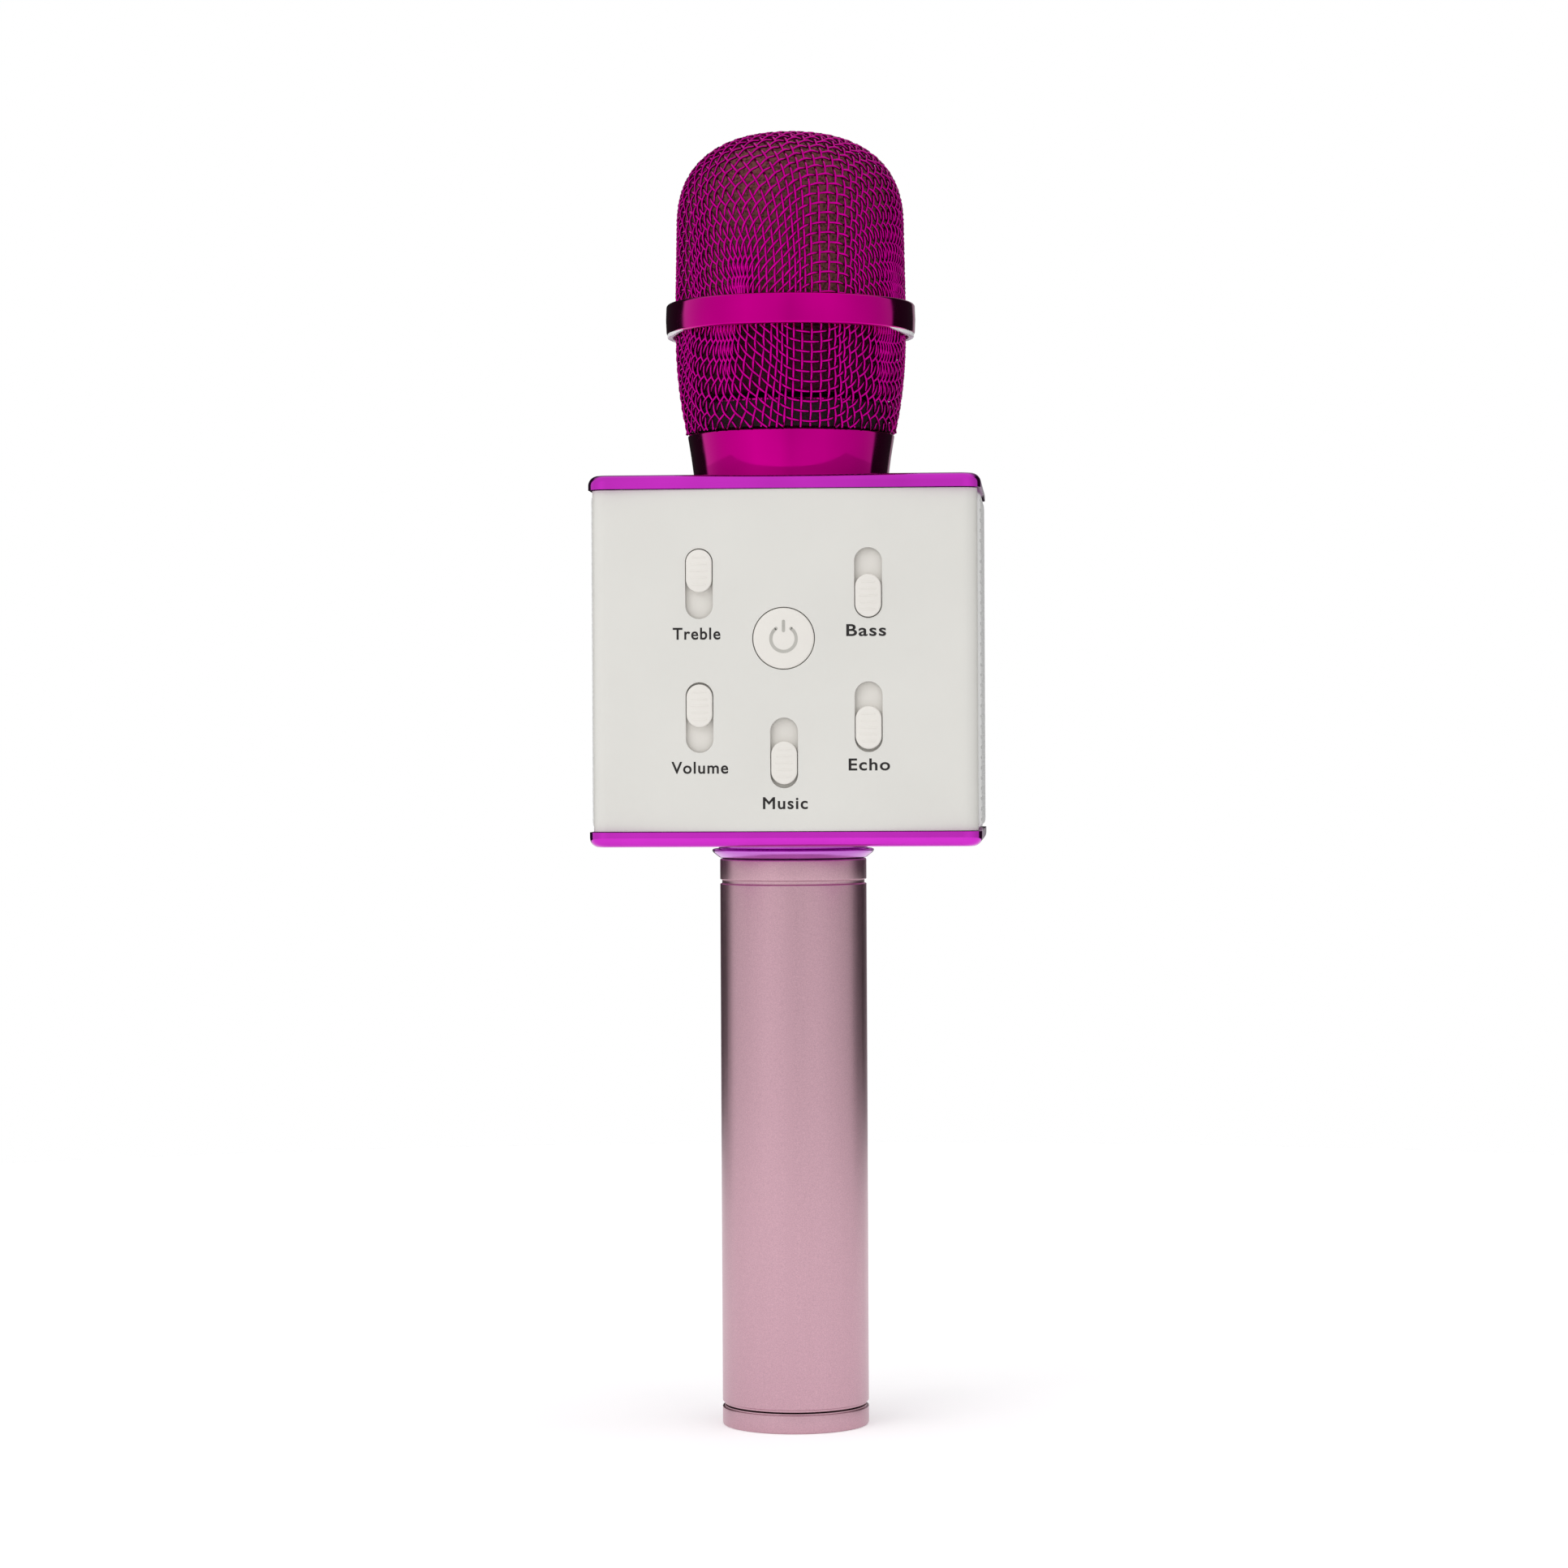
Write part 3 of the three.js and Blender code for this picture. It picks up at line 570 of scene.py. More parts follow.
class WovenNet:
    """A square weave laid over a surface of revolution: its wires shear and nearly keep their pitch.

    The outline runs from the pole to the rim in mm. The two middle wires run straight down from the
    pole, and every other crossing is laid one pitch from the two crossings before it, then eased.
    """

    def __init__(self, outline, pitch):
        self.radii, self.heights = (numpy.array(values) for values in zip(*outline))
        steps = numpy.hypot(numpy.diff(self.radii), numpy.diff(self.heights))
        self.runs = numpy.concatenate(([0.0], numpy.cumsum(steps)))
        self.pitch = pitch
        self.count = int(self.runs[-1] / pitch)
        self.crossings = {}
        self.lay()

    def point(self, run, angle):
        radius = numpy.interp(run, self.runs, self.radii)
        height = numpy.interp(run, self.runs, self.heights)
        return numpy.array((radius * math.cos(angle), radius * math.sin(angle), height))

    def outward(self, run, angle):
        """Unit normal of the surface."""
        step = 0.05
        along = self.point(min(run + step, self.runs[-1]), angle) - self.point(max(run - step, 0), angle)
        tangent = numpy.array((-math.sin(angle), math.cos(angle), 0.0))
        normal = numpy.cross(tangent, along)
        normal = normal / numpy.linalg.norm(normal)
        towards_pole = math.copysign(0.4, self.heights[0] - self.heights[-1])
        away = numpy.array((math.cos(angle), math.sin(angle), towards_pole))
        return normal if normal @ away > 0 else -normal

    def next_crossing(self, first, second, before):
        """(run, angle) one pitch from both neighbours, found by Newton steps."""
        targets = [self.point(*first), self.point(*second)]
        run = first[0] + second[0] - before[0]
        angle = first[1] + second[1] - before[1] if before[0] > 0 else (first[1] + second[1]) / 2
        if before[0] == 0:
            run = self.pitch * math.sqrt(2)
        for _ in range(25):
            here = self.point(run, angle)
            miss = numpy.array([(here - target) @ (here - target) - self.pitch**2 for target in targets])
            small = 1e-4
            by_run = (self.point(run + small, angle) - here) / small
            by_angle = (self.point(run, angle + small) - here) / small
            slopes = numpy.array([[2 * (here - t) @ by_run, 2 * (here - t) @ by_angle] for t in targets])
            if abs(numpy.linalg.det(slopes)) < 1e-9:
                return None
            step = numpy.linalg.solve(slopes, miss)
            run -= float(numpy.clip(step[0], -0.5, 0.5))
            angle -= float(numpy.clip(step[1], -0.3, 0.3))
            if abs(step[0]) < 1e-6 and abs(step[1]) < 1e-7:
                break
        else:
            return None
        return (run, angle) if run < self.runs[-1] and 0 < angle < math.pi / 2 else None

    def lay(self):
        quarter = {(0, 0): (0.0, math.pi / 4)}
        for index in range(1, self.count + 1):
            quarter[index, 0] = (index * self.pitch, 0.0)
            quarter[0, index] = (index * self.pitch, math.pi / 2)
        for total in range(2, 4 * self.count):
            for i in range(1, total):
                j = total - i
                near = (quarter.get((i - 1, j)), quarter.get((i, j - 1)), quarter.get((i - 1, j - 1)))
                if None in near:
                    continue
                crossing = self.next_crossing(*near)
                if crossing:
                    quarter[i, j] = crossing
        for (i, j), (run, angle) in quarter.items():
            angle = self.eased(run, angle)
            self.crossings[i, j] = (run, angle)
            self.crossings[-i, j] = (run, math.pi - angle)
            self.crossings[i, -j] = (run, -angle)
            self.crossings[-i, -j] = (run, math.pi + angle)

    def eased(self, run, angle):
        """Real wires lock before they close up: this spreads the ones that shear most."""
        full = self.runs[-1]
        weight = min(1.0, max(0.0, (run / full - 0.2) / 0.6))
        spread = 0.105 * weight
        return angle - spread * math.sin(4 * angle) + spread / 2 * math.sin(8 * angle)

    def wires(self, lift):
        """Lists of control points, one list for each wire, woven over and under."""
        reach = max(max(abs(i), abs(j)) for i, j in self.crossings)
        for crossed in (False, True):
            for fixed in range(-reach, reach + 1):
                line = []
                for free in range(-reach, reach + 1):
                    key = (free, fixed) if crossed else (fixed, free)
                    if key not in self.crossings:
                        continue
                    over = 1 if (key[0] + key[1]) % 2 == crossed else -1
                    place = self.crossings[key]
                    line.append(self.point(*place) + self.outward(*place) * over * lift)
                if len(line) > 2:
                    yield line


def stretches_above(line, lowest):
    """The parts of a line above a height, their cut ends exactly at that height."""
    kept = []
    for here, after in zip(line, line[1:]):
        if here[2] >= lowest:
            kept.append(here)
        if (here[2] - lowest) * (after[2] - lowest) < 0:
            kept.append(here + (after - here) * (lowest - here[2]) / (after[2] - here[2]))
            if after[2] < lowest:
                yield kept
                kept = []
    if line[-1][2] >= lowest:
        kept.append(line[-1])
    yield kept


def weave_basket(name, outline, facing, lowest, replaced):
    """A basket of wires as one curve piece. facing turns the weave's square zone, in degrees."""
    wire = sizes().wire / MM
    net = WovenNet(outline, sizes().pitch / MM)
    curve = bpy.data.curves.new(name, "CURVE")
    curve.dimensions = "3D"
    curve.bevel_depth = sizes().wire
    curve.bevel_resolution = 1
    curve.use_fill_caps = True
    spin = Matrix.Rotation(math.radians(facing - 90), 3, "Z")
    stretches = (stretch for line in net.wires(2 * wire) for stretch in stretches_above(line, lowest))
    for line in stretches:
        if len(line) < 3:
            continue
        spline = curve.splines.new("NURBS")
        spline.points.add(len(line) - 1)
        for point, place in zip(spline.points, line):
            point.co = (*(spin @ Vector(place) * MM), 1)
        spline.order_u = 3
        spline.use_endpoint_u = True
        spline.resolution_u = 3
    piece = bpy.data.objects.new(name, curve)
    bpy.context.scene.collection.objects.link(piece)
    curve.materials.append(material("woven_wire"))
    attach(piece, "head_cage")
    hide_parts(*replaced)
    return piece


# ---- the head's outlines, in mm -------------------------------------------------------------------
DOME_POWER = 2.45
DOME_RISE = 19.2
SHOULDER_IN = 0.3


def dome_outline(inset, rim, steps=90):
    """Upper basket from its pole to its rim, drawn in from the CAD solid's outside."""
    top = high("upper_basket").z / MM
    radius = radius_of("upper_basket") / MM
    shoulder = top - DOME_RISE
    dome = superellipse(radius - SHOULDER_IN - inset, DOME_RISE - inset, DOME_POWER, steps)
    points = [(r, shoulder + z) for r, z in dome]
    points.append((radius - inset, rim + 5))
    points.append((radius - inset, rim))
    return points


LOWER_CENTRE = 220.0
LOWER_HEIGHT = 47.5
CUP_RISE = 8.0


def lower_radius(height):
    widest = radius_of("upper_basket") / MM
    return widest * math.sqrt(1 - ((LOWER_CENTRE - height) / LOWER_HEIGHT) ** 2)


def cup_outline(inset, rim, steps=60):
    """Lower basket from the pole of the cup it was pressed as, up to its rim under the band."""
    foot = low("lower_basket").z / MM
    cup = superellipse(lower_radius(foot) - inset, CUP_RISE, DOME_POWER, steps)
    points = [(r, foot - z) for r, z in cup]
    for step in range(1, 21):
        height = foot + (rim - foot) * step / 20
        points.append((lower_radius(min(height, LOWER_CENTRE)) - inset, height))
    return points


# ---- operators --------------------------------------------------------------------------------------
class MICROPHONE_OT_baskets(bpy.types.Operator):
    """Weaves the upper and lower baskets of the head"""

    bl_idname = "microphone.baskets"
    bl_label = "Woven baskets"

    def execute(self, context):
        inset = 2 * sizes().wire / MM
        band_low = low("head_band").z / MM
        band_high = high("head_band").z / MM
        weave_basket("upper_basket_weave", dome_outline(inset, band_low + 2), -67, 0, ["upper_basket"])
        foot = low("lower_basket").z / MM
        weave_basket("lower_basket_weave", cup_outline(inset, band_high - 3), -76, foot, ["lower_basket"])
        return {"FINISHED"}


class MICROPHONE_OT_band(bpy.types.Operator):
    """Turns the plated ring between the two baskets, and the pale lip under it"""

    bl_idname = "microphone.band"
    bl_label = "Head band"

    def execute(self, context):
        lowest, highest = low("head_band").z / MM, high("head_band").z / MM
        outside = radius_of("head_band") / MM
        bore = 22.7
        ring = turned([
            (bore, lowest, 0.2),
            (outside - 0.12, lowest, 0.55),
            (outside, (lowest + highest) / 2, 0),
            (outside - 0.12, highest, 0.55),
            (bore, highest, 0.2),
        ])
        make_piece(ring, "head_band_ring", "magenta_plating", "head_cage", ["head_band"], 60)
        lip_inside, lip_outside, drop, hidden = outside - 1.45, outside - 0.30, 0.55, 0.5
        seal = turned([
            (lip_inside, lowest - drop, 0.1),
            (lip_outside, lowest - drop, 0.2),
            (lip_outside, lowest + hidden, 0),
            (lip_inside, lowest + hidden, 0),
        ])
        # the lip sinks into the band towards the front and the back, and shows at the two sides
        for vert in seal.verts:
            sideways = min(1.0, max(0.0, (abs(vert.co.x) / (outside * MM) - 0.80) / 0.12))
            vert.co.z += (1 - sideways) * 0.7 * MM
        make_piece(seal, "head_band_seal", "seal_rubber", "head_cage", sharp=60)
        return {"FINISHED"}


class MICROPHONE_OT_foam(bpy.types.Operator):
    """Makes the foam windscreen inside the baskets"""

    bl_idname = "microphone.foam"
    bl_label = "Foam windscreen"

    def execute(self, context):
        box_low = low("foam_windscreen").z / MM
        wall, inset, hollow_top = 8.0, 1.5, 238.0
        outer = dome_outline(inset, LOWER_CENTRE + 6, 46)
        outer[0] = (0.0, outer[0][1])
        for step in range(0, 13):
            height = LOWER_CENTRE - (LOWER_CENTRE - box_low) * step / 12
            outer.append((lower_radius(height) - inset, height))
        bore = radius_of("foam_windscreen") / MM - wall
        outline = [(r, z, 0) for r, z in outer]
        outline += [(bore, box_low, 0), (bore, hollow_top, 1.5), (0.0, hollow_top, 0)]
        bm = turned(outline, closed=False, steps=220)
        bmesh.ops.recalc_face_normals(bm, faces=bm.faces)
        for vert in bm.verts:
            spot = vert.co / MM
            swell = 0.22 * noise.noise(spot * 0.45) + 0.12 * noise.noise(spot * 1.3)
            rise = 0.6 * max(0.0, vert.co.z - hollow_top * MM)
            flat = Vector((vert.co.x, vert.co.y, rise))
            if flat.length > 0:
                vert.co += flat.normalized() * (swell - 0.3) * MM
        piece = make_piece(bm, "foam_ball", "foam", "head_lift", ["foam_windscreen"], 180)
        return {"FINISHED"}


class MICROPHONE_OT_neck(bpy.types.Operator):
    """Turns the plated neck with the thread that the head screws on"""

    bl_idname = "microphone.neck"
    bl_label = "Neck"

    def execute(self, context):
        bottom, top = low("neck_cone").z / MM, high("neck_cone").z / MM
        shelf = low("lower_basket").z / MM - 0.3
        spigot, bore = 17.6, 16.6
        neck = turned([
            (bore, bottom, 0),
            (19.55, bottom, 0.15),
            (20.16, bottom + 4.6, 0),
            (20.9, shelf, 0.35),
            (spigot, shelf, 0.2),
            (spigot, top, 0.3),
            (bore, top, 0.2),
        ])
        merge(neck, thread(spigot, 0.28, shelf + 0.6, top - 0.4, 1.5))
        make_piece(neck, "neck_body", "magenta_plating", "body", ["neck_cone"], 50)
        return {"FINISHED"}


class MICROPHONE_OT_handle(bpy.types.Operator):
    """Turns the handle tube, its end cap and the collar under the box"""

    bl_idname = "microphone.handle"
    bl_label = "Handle"

    def execute(self, context):
        bottom, top = low("handle_tube").z / MM, high("handle_tube").z / MM
        outside, bore = radius_of("handle_tube") / MM, 13.6
        groove, half, deep = 109.8, 0.45, 0.4
        tube = turned([
            (bore, bottom, 0.1),
            (outside - deep, bottom, 0.08),
            (outside - deep, bottom + 0.4, 0.05),
            (outside, bottom + 0.5, 0.12),
            (outside, groove - half, 0.12),
            (outside - deep, groove - half + 0.1, 0.08),
            (outside - deep, groove + half - 0.1, 0.08),
            (outside, groove + half, 0.12),
            (outside, top, 0.35),
            (bore, top, 0.1),
        ], segments=3)
        make_piece(tube, "handle_sleeve", "rose_aluminium", "body", ["handle_tube"])

        seam, spigot, spigot_top, room, seat = 4.0, 12.9, 11.0, 8.2, 3.0
        cap = turned([
            (0, 0, 0),
            (outside, 0, 0.45),
            (outside, seam - 0.3, 0.12),
            (outside - deep, seam - 0.25, 0.05),
            (outside - deep, seam, 0.05),
            (spigot, seam, 0.1),
            (spigot, spigot_top, 0.3),
            (room, spigot_top, 0.2),
            (room, seat, 0.2),
            (0, seat, 0),
        ], closed=False, segments=3)
        merge(cap, thread(spigot, 0.3, seam + 0.6, spigot_top - 0.4, 1.5))
        make_piece(cap, "handle_cap", "rose_aluminium", "end_cap", ["handle_end_cap"])

        low_z, high_z = low("handle_collar").z / MM, high("handle_collar").z / MM
        disc = radius_of("handle_collar") / MM
        collar = turned([
            (6.0, low_z, 0),
            (disc - 1.6, low_z, 0.25),
            (disc - 0.15, low_z + 1.15, 0.3),
            (disc, low_z + 1.6, 0.2),
            (disc - 0.3, low_z + 1.8, 0.15),
            (15.0, low_z + 1.95, 0.2),
            (15.0, high_z, 0),
            (6.0, high_z, 0),
        ], segments=4)
        make_piece(collar, "collar_disc", "collar_plating", "body", ["handle_collar"], 60)
        return {"FINISHED"}


def flat_plate(node, rounded_up):
    """A box plate: round corners in plan, and its outer rim rolled over on one side."""
    lowest, highest = low(node), high(node)
    start = lowest.z if rounded_up else highest.z
    end = highest.z if rounded_up else lowest.z
    bm = bmesh.new()
    corners = [(lowest.x, lowest.y), (highest.x, lowest.y), (highest.x, highest.y), (lowest.x, highest.y)]
    verts = [bm.verts.new((x, y, start)) for x, y in corners]
    bm.faces.new(verts)
    bevel(bm, verts, 4.0 * MM, 14, "VERTICES")
    push(bm, bm.faces[:], Vector((0, 0, end - start)))
    bmesh.ops.recalc_face_normals(bm, faces=bm.faces)
    rolled = [face for face in bm.faces if abs(face.calc_center_median().z - end) < 1e-6]
    bevel(bm, rim_edges(rolled), 1.9 * MM, 8)
    return bm


class MICROPHONE_OT_plates(bpy.types.Operator):
    """Makes the plated top and bottom plates of the box, with the ports in the bottom one"""

    bl_idname = "microphone.plates"
    bl_label = "Box plates"

    def execute(self, context):
        top = flat_plate("top_plate", True)
        make_piece(top, "top_plate_skin", "purple_plating", "body", ["top_plate"], 25)

        usb, jack = middle("usb_socket"), middle("audio_jack")
        lowest, highest = low("bottom_plate").z - MM, high("bottom_plate").z + MM
        usb_hole = boxed(usb.x - 4.2 * MM, usb.x + 4.2 * MM, -1.8 * MM, 1.8 * MM, lowest, highest)
        jack_hole = turned([(0, -5, 0), (3.3, -5, 0), (3.3, 5, 0), (0, 5, 0)], closed=False, steps=32)
        bmesh.ops.translate(jack_hole, verts=jack_hole.verts, vec=(jack.x, 0, middle("bottom_plate").z))
        bottom = cut_away(flat_plate("bottom_plate", False), [usb_hole, jack_hole])
        make_piece(bottom, "bottom_plate_skin", "purple_plating", "body", ["bottom_plate"], 25)

        lo, hi = low("usb_socket"), high("usb_socket")
        shell = boxed(lo.x, hi.x, lo.y, hi.y, lo.z, hi.z, 0.5 * MM, 3)
        wall = 0.35 * MM
        room = boxed(lo.x + wall, hi.x - wall, lo.y + wall, hi.y - wall, lo.z - MM, hi.z - MM, 0.3 * MM, 3)
        shell = cut_away(shell, [room])
        half_tongue = 1.9 * MM
        tongue = boxed(
            usb.x - half_tongue, usb.x + half_tongue, -0.1 * MM, 0.5 * MM, lo.z + 0.6 * MM, hi.z - 0.5 * MM
        )
        merge(shell, tongue)
        make_piece(shell, "charging_socket", "steel", "body", ["usb_socket"])

        lo, hi = low("audio_jack").z / MM, high("audio_jack").z / MM
        barrel = turned([
            (1.8, lo, 0.2), (2.9, lo, 0.3), (2.9, lo + 3, 0), (3.4, lo + 3, 0), (3.4, hi, 0.2), (1.8, hi, 0),
        ], steps=48)
        bmesh.ops.translate(barrel, verts=barrel.verts, vec=(jack.x, 0, 0))
        make_piece(barrel, "jack_barrel", "black_plastic", "body", ["audio_jack"])
        return {"FINISHED"}


SIDE_END = 20.9 * MM
SHELL_CORNER = 3.0 * MM
CROWN_STRIPS = 17


def face_depth(x):
    """How far forward the crowned face lies at x."""
    reach = high("front_shell").x - SHELL_CORNER
    return low("front_shell").y + sizes().crown * min(1.0, (x / reach) ** 2)


def panel_shell(cutters):
    """The front shell's wall: round corners and short sides, cut flat and crowned afterwards."""
    lo, hi = low("front_shell"), high("front_shell")
    edge_y = lo.y + sizes().crown
    bm = bmesh.new()
    half_outline = [(hi.x, edge_y, lo.z, SHELL_CORNER), (hi.x, -SIDE_END, lo.z, 0)]
    mirrored = [(-x, y, z, rounding) for x, y, z, rounding in reversed(half_outline)]
    wire_outline(bm, mirrored + half_outline, False, 10)
    result = bmesh.ops.extrude_edge_only(bm, edges=bm.edges[:])
    moved = [item for item in result["geom"] if isinstance(item, bmesh.types.BMVert)]
    bmesh.ops.translate(bm, verts=moved, vec=(0, 0, hi.z - lo.z))
    bmesh.ops.recalc_face_normals(bm, faces=bm.faces)
    front = min(bm.faces, key=lambda face: face.calc_center_median().y)
    if front.normal.y > 0:
        bmesh.ops.reverse_faces(bm, faces=bm.faces)
    bmesh.ops.solidify(bm, geom=bm.faces[:], thickness=sizes().wall)
    reach = hi.x - SHELL_CORNER
    for strip in range(-CROWN_STRIPS, CROWN_STRIPS + 1):
        geom = bm.verts[:] + bm.edges[:] + bm.faces[:]
        line = (strip / CROWN_STRIPS * reach, 0, 0)
        bmesh.ops.bisect_plane(bm, geom=geom, dist=1e-7, plane_co=line, plane_no=(1, 0, 0))
    bm = cut_away(bm, cutters)
    for vert in bm.verts:
        if abs(vert.co.x) < reach and vert.co.y < edge_y + 2 * sizes().wall:
            vert.co.y -= sizes().crown * (1 - (vert.co.x / reach) ** 2)
    return bm


def flared_cutter(width, height, x, z, flare=0.15 * MM, segments=48):
    """A cutter for an oval opening with a rounded mouth, which ends just clear of the panel's face."""
    bm = bmesh.new()
    face_y = low("front_shell").y + sizes().crown - 0.02 * MM
    upright_oval(bm, width, height, Vector((x, face_y + 6 * MM, z)), segments)
    straight = (height - width) / 2
    fronts = push(bm, bm.faces[:], Vector((0, flare - 6 * MM, 0)))
    grown = 0.0
    for step in range(1, 5):
        angle = step / 4 * math.pi / 2
        depth = flare * (1 - math.sin(angle))
        size = flare * (1 - math.cos(angle))
        here = fronts[0].calc_center_median().y
        fronts = push_on(bm, fronts, Vector((0, face_y + depth - here, 0)))
        for vert in {vert for face in fronts for vert in face.verts}:
            centre = Vector((x, vert.co.y, z + max(-straight, min(straight, vert.co.z - z))))
            vert.co += (vert.co - centre).normalized() * (size - grown)
        grown = size
    push_on(bm, fronts, Vector((0, -2 * MM, 0)))
    bmesh.ops.recalc_face_normals(bm, faces=bm.faces)
    return bm


def even_shading(piece):
    """Lets the large faces set the normals, so that openings leave no streaks round them."""
    modifier = piece.modifiers.new("even_shading", "WEIGHTED_NORMAL")
    modifier.keep_sharp = True


def cross_screw(radius, thickness, place):
    """A screw head with a cross recess, looking along +Y at its place."""
    outline = [(0, 0, 0), (radius, 0, 0.1), (radius, thickness, 0.45), (0, thickness + 0.15, 0)]
    head = turned(outline, False, 40)
    arms = [(1.25, 0.28), (0.28, 1.25)]
    recess = [
        boxed(-x * MM, x * MM, -y * MM, y * MM, (thickness - 0.8) * MM, (thickness + 1) * MM) for x, y in arms
    ]
    head = cut_away(head, recess)
    return laid(head, TO_BACK, place)


class MICROPHONE_OT_shells(bpy.types.Operator):
    """Makes the front and rear shells and the four screws that hold them together"""

    bl_idname = "microphone.shells"
    bl_label = "Box shells"

    def execute(self, context):
        cutters = []
        for name in SLIDERS:
            pot = middle(f"{name}_pot")
            cutters.append(flared_cutter(sizes().slot_width, sizes().slot_length, pot.x, pot.z))
        button = middle("power_button")
        cutters.append(flared_cutter(12.28 * MM, 12.28 * MM, 0, button.z, segments=80))
        front = panel_shell(cutters)
        panel = make_piece(front, "front_panel", "white_panel", "body", ["front_shell"], 30)
        even_shading(panel)

        screws = [middle(f"case_screw_{index}") for index in range(1, 5)]
        holes = []
        for screw in screws:
            hole = turned([(0, -6, 0), (2.6, -6, 0), (2.6, 6, 0), (0, 6, 0)], closed=False, steps=40)
            holes.append(laid(hole, TO_FRONT, (screw.x, low("front_shell").y, screw.z)))
        rear = panel_shell(holes)
        bmesh.ops.rotate(rear, verts=rear.verts, cent=(0, 0, 0), matrix=Matrix.Rotation(math.pi, 3, "Z"))
        for screw in screws:
            boss = turned([(1.4, 0, 0), (3.0, 0, 0), (3.0, 3, 0), (1.4, 3, 0)], steps=40)
            merge(rear, laid(boss, TO_BACK, (screw.x, 21.0 * MM, screw.z)))
        back = make_piece(rear, "rear_panel", "white_panel", "body", ["rear_shell"], 30)
        even_shading(back)

        for index, screw in enumerate(screws, start=1):
            node = f"case_screw_{index}"
            head = cross_screw(2.3, 1.2, Vector((screw.x, high(node).y - 1.35 * MM, screw.z)))
            make_piece(head, f"case_screw_head_{index}", "steel", "body", [node])
        return {"FINISHED"}


class MICROPHONE_OT_knobs(bpy.types.Operator):
    """Makes the five slider knobs with the shutters behind their slots"""

    bl_idname = "microphone.knobs"
    bl_label = "Slider knobs"

    def execute(self, context):
        width, height = 5.1 * MM, 8.4 * MM
        for name in SLIDERS:
            node = f"{name}_knob"
            lo, hi = low(node), high(node)
            centre = middle(node)
            shutter_front = face_depth(centre.x) + sizes().wall + 0.25 * MM
            knob = oval_block(width, height, lo.y, shutter_front, centre.x, centre.z, 0.32 * MM, 56)
            for index in range(-2, 3):
                rib_z = centre.z + index * 1.35 * MM
                half = 1.75 * MM - abs(index) * 0.18 * MM
                rib = boxed(
                    centre.x - half, centre.x + half, lo.y - 0.06 * MM, lo.y + 0.3 * MM,
                    rib_z - 0.16 * MM, rib_z + 0.16 * MM, 0.055 * MM, 3,
                )
                merge(knob, rib)
            shutter = oval_block(
                8.2 * MM, hi.z - lo.z, shutter_front, shutter_front + 0.7 * MM, centre.x, centre.z, 0.1 * MM
            )
            merge(knob, shutter)
            make_piece(knob, f"{name}_slider_knob", "knob_plastic", f"{name}_slider", [node], 40)
        return {"FINISHED"}


class MICROPHONE_OT_power_button(bpy.types.Operator):
    """Makes the power button and the symbol printed on it"""

    bl_idname = "microphone.power_button"
    bl_label = "Power button"

    def execute(self, context):
        lo, centre = low("power_button"), middle("power_button")
        flange, reach, back = 7.0, 6.0, -2.6
        outline = [
            (0, back, 0),
            (flange, back, 0.2),
            (flange, -2.0, 0.2),
            (reach, -2.0, 0),
            (reach, 0, 0.42),
            (0, 0, 0),
        ]
        cap = laid(turned(outline, closed=False, steps=96, segments=6), TO_FRONT, (0, lo.y, centre.z))
        make_piece(cap, "power_cap", "knob_plastic", "power_button", ["power_button"], 40)

        outer, stroke, gap = 2.8 * MM, 0.63 * MM, math.radians(36)
        symbol = bmesh.new()
        front = lo.y - 0.03 * MM
        start = Matrix.Rotation(gap, 3, "Y")
        ends = [symbol.verts.new(start @ Vector((0, 0, radius))) for radius in (outer - stroke, outer)]
        edge = symbol.edges.new(ends)
        bmesh.ops.spin(
            symbol, geom=[*ends, edge], cent=(0, 0, 0), axis=(0, 1, 0), angle=FULL_TURN - 2 * gap, steps=64
        )
        push(symbol, symbol.faces[:], Vector((0, 0.05 * MM, 0)))
        bmesh.ops.translate(symbol, verts=symbol.verts, vec=(0, front, centre.z - 0.1 * MM))
        for side in (-1, 1):
            tip = Matrix.Rotation(side * gap, 3, "Y") @ Vector((0, 0, outer - stroke / 2))
            dot = oval_block(stroke, stroke, front, front + 0.05 * MM, tip.x, centre.z - 0.1 * MM + tip.z)
            merge(symbol, dot)
        merge(symbol, oval_block(0.62 * MM, 2.45 * MM, front, front + 0.05 * MM, 0, centre.z + 2.4 * MM))
        bmesh.ops.recalc_face_normals(symbol, faces=symbol.faces)
        make_piece(symbol, "power_symbol", "symbol_ink", "power_button")
        return {"FINISHED"}


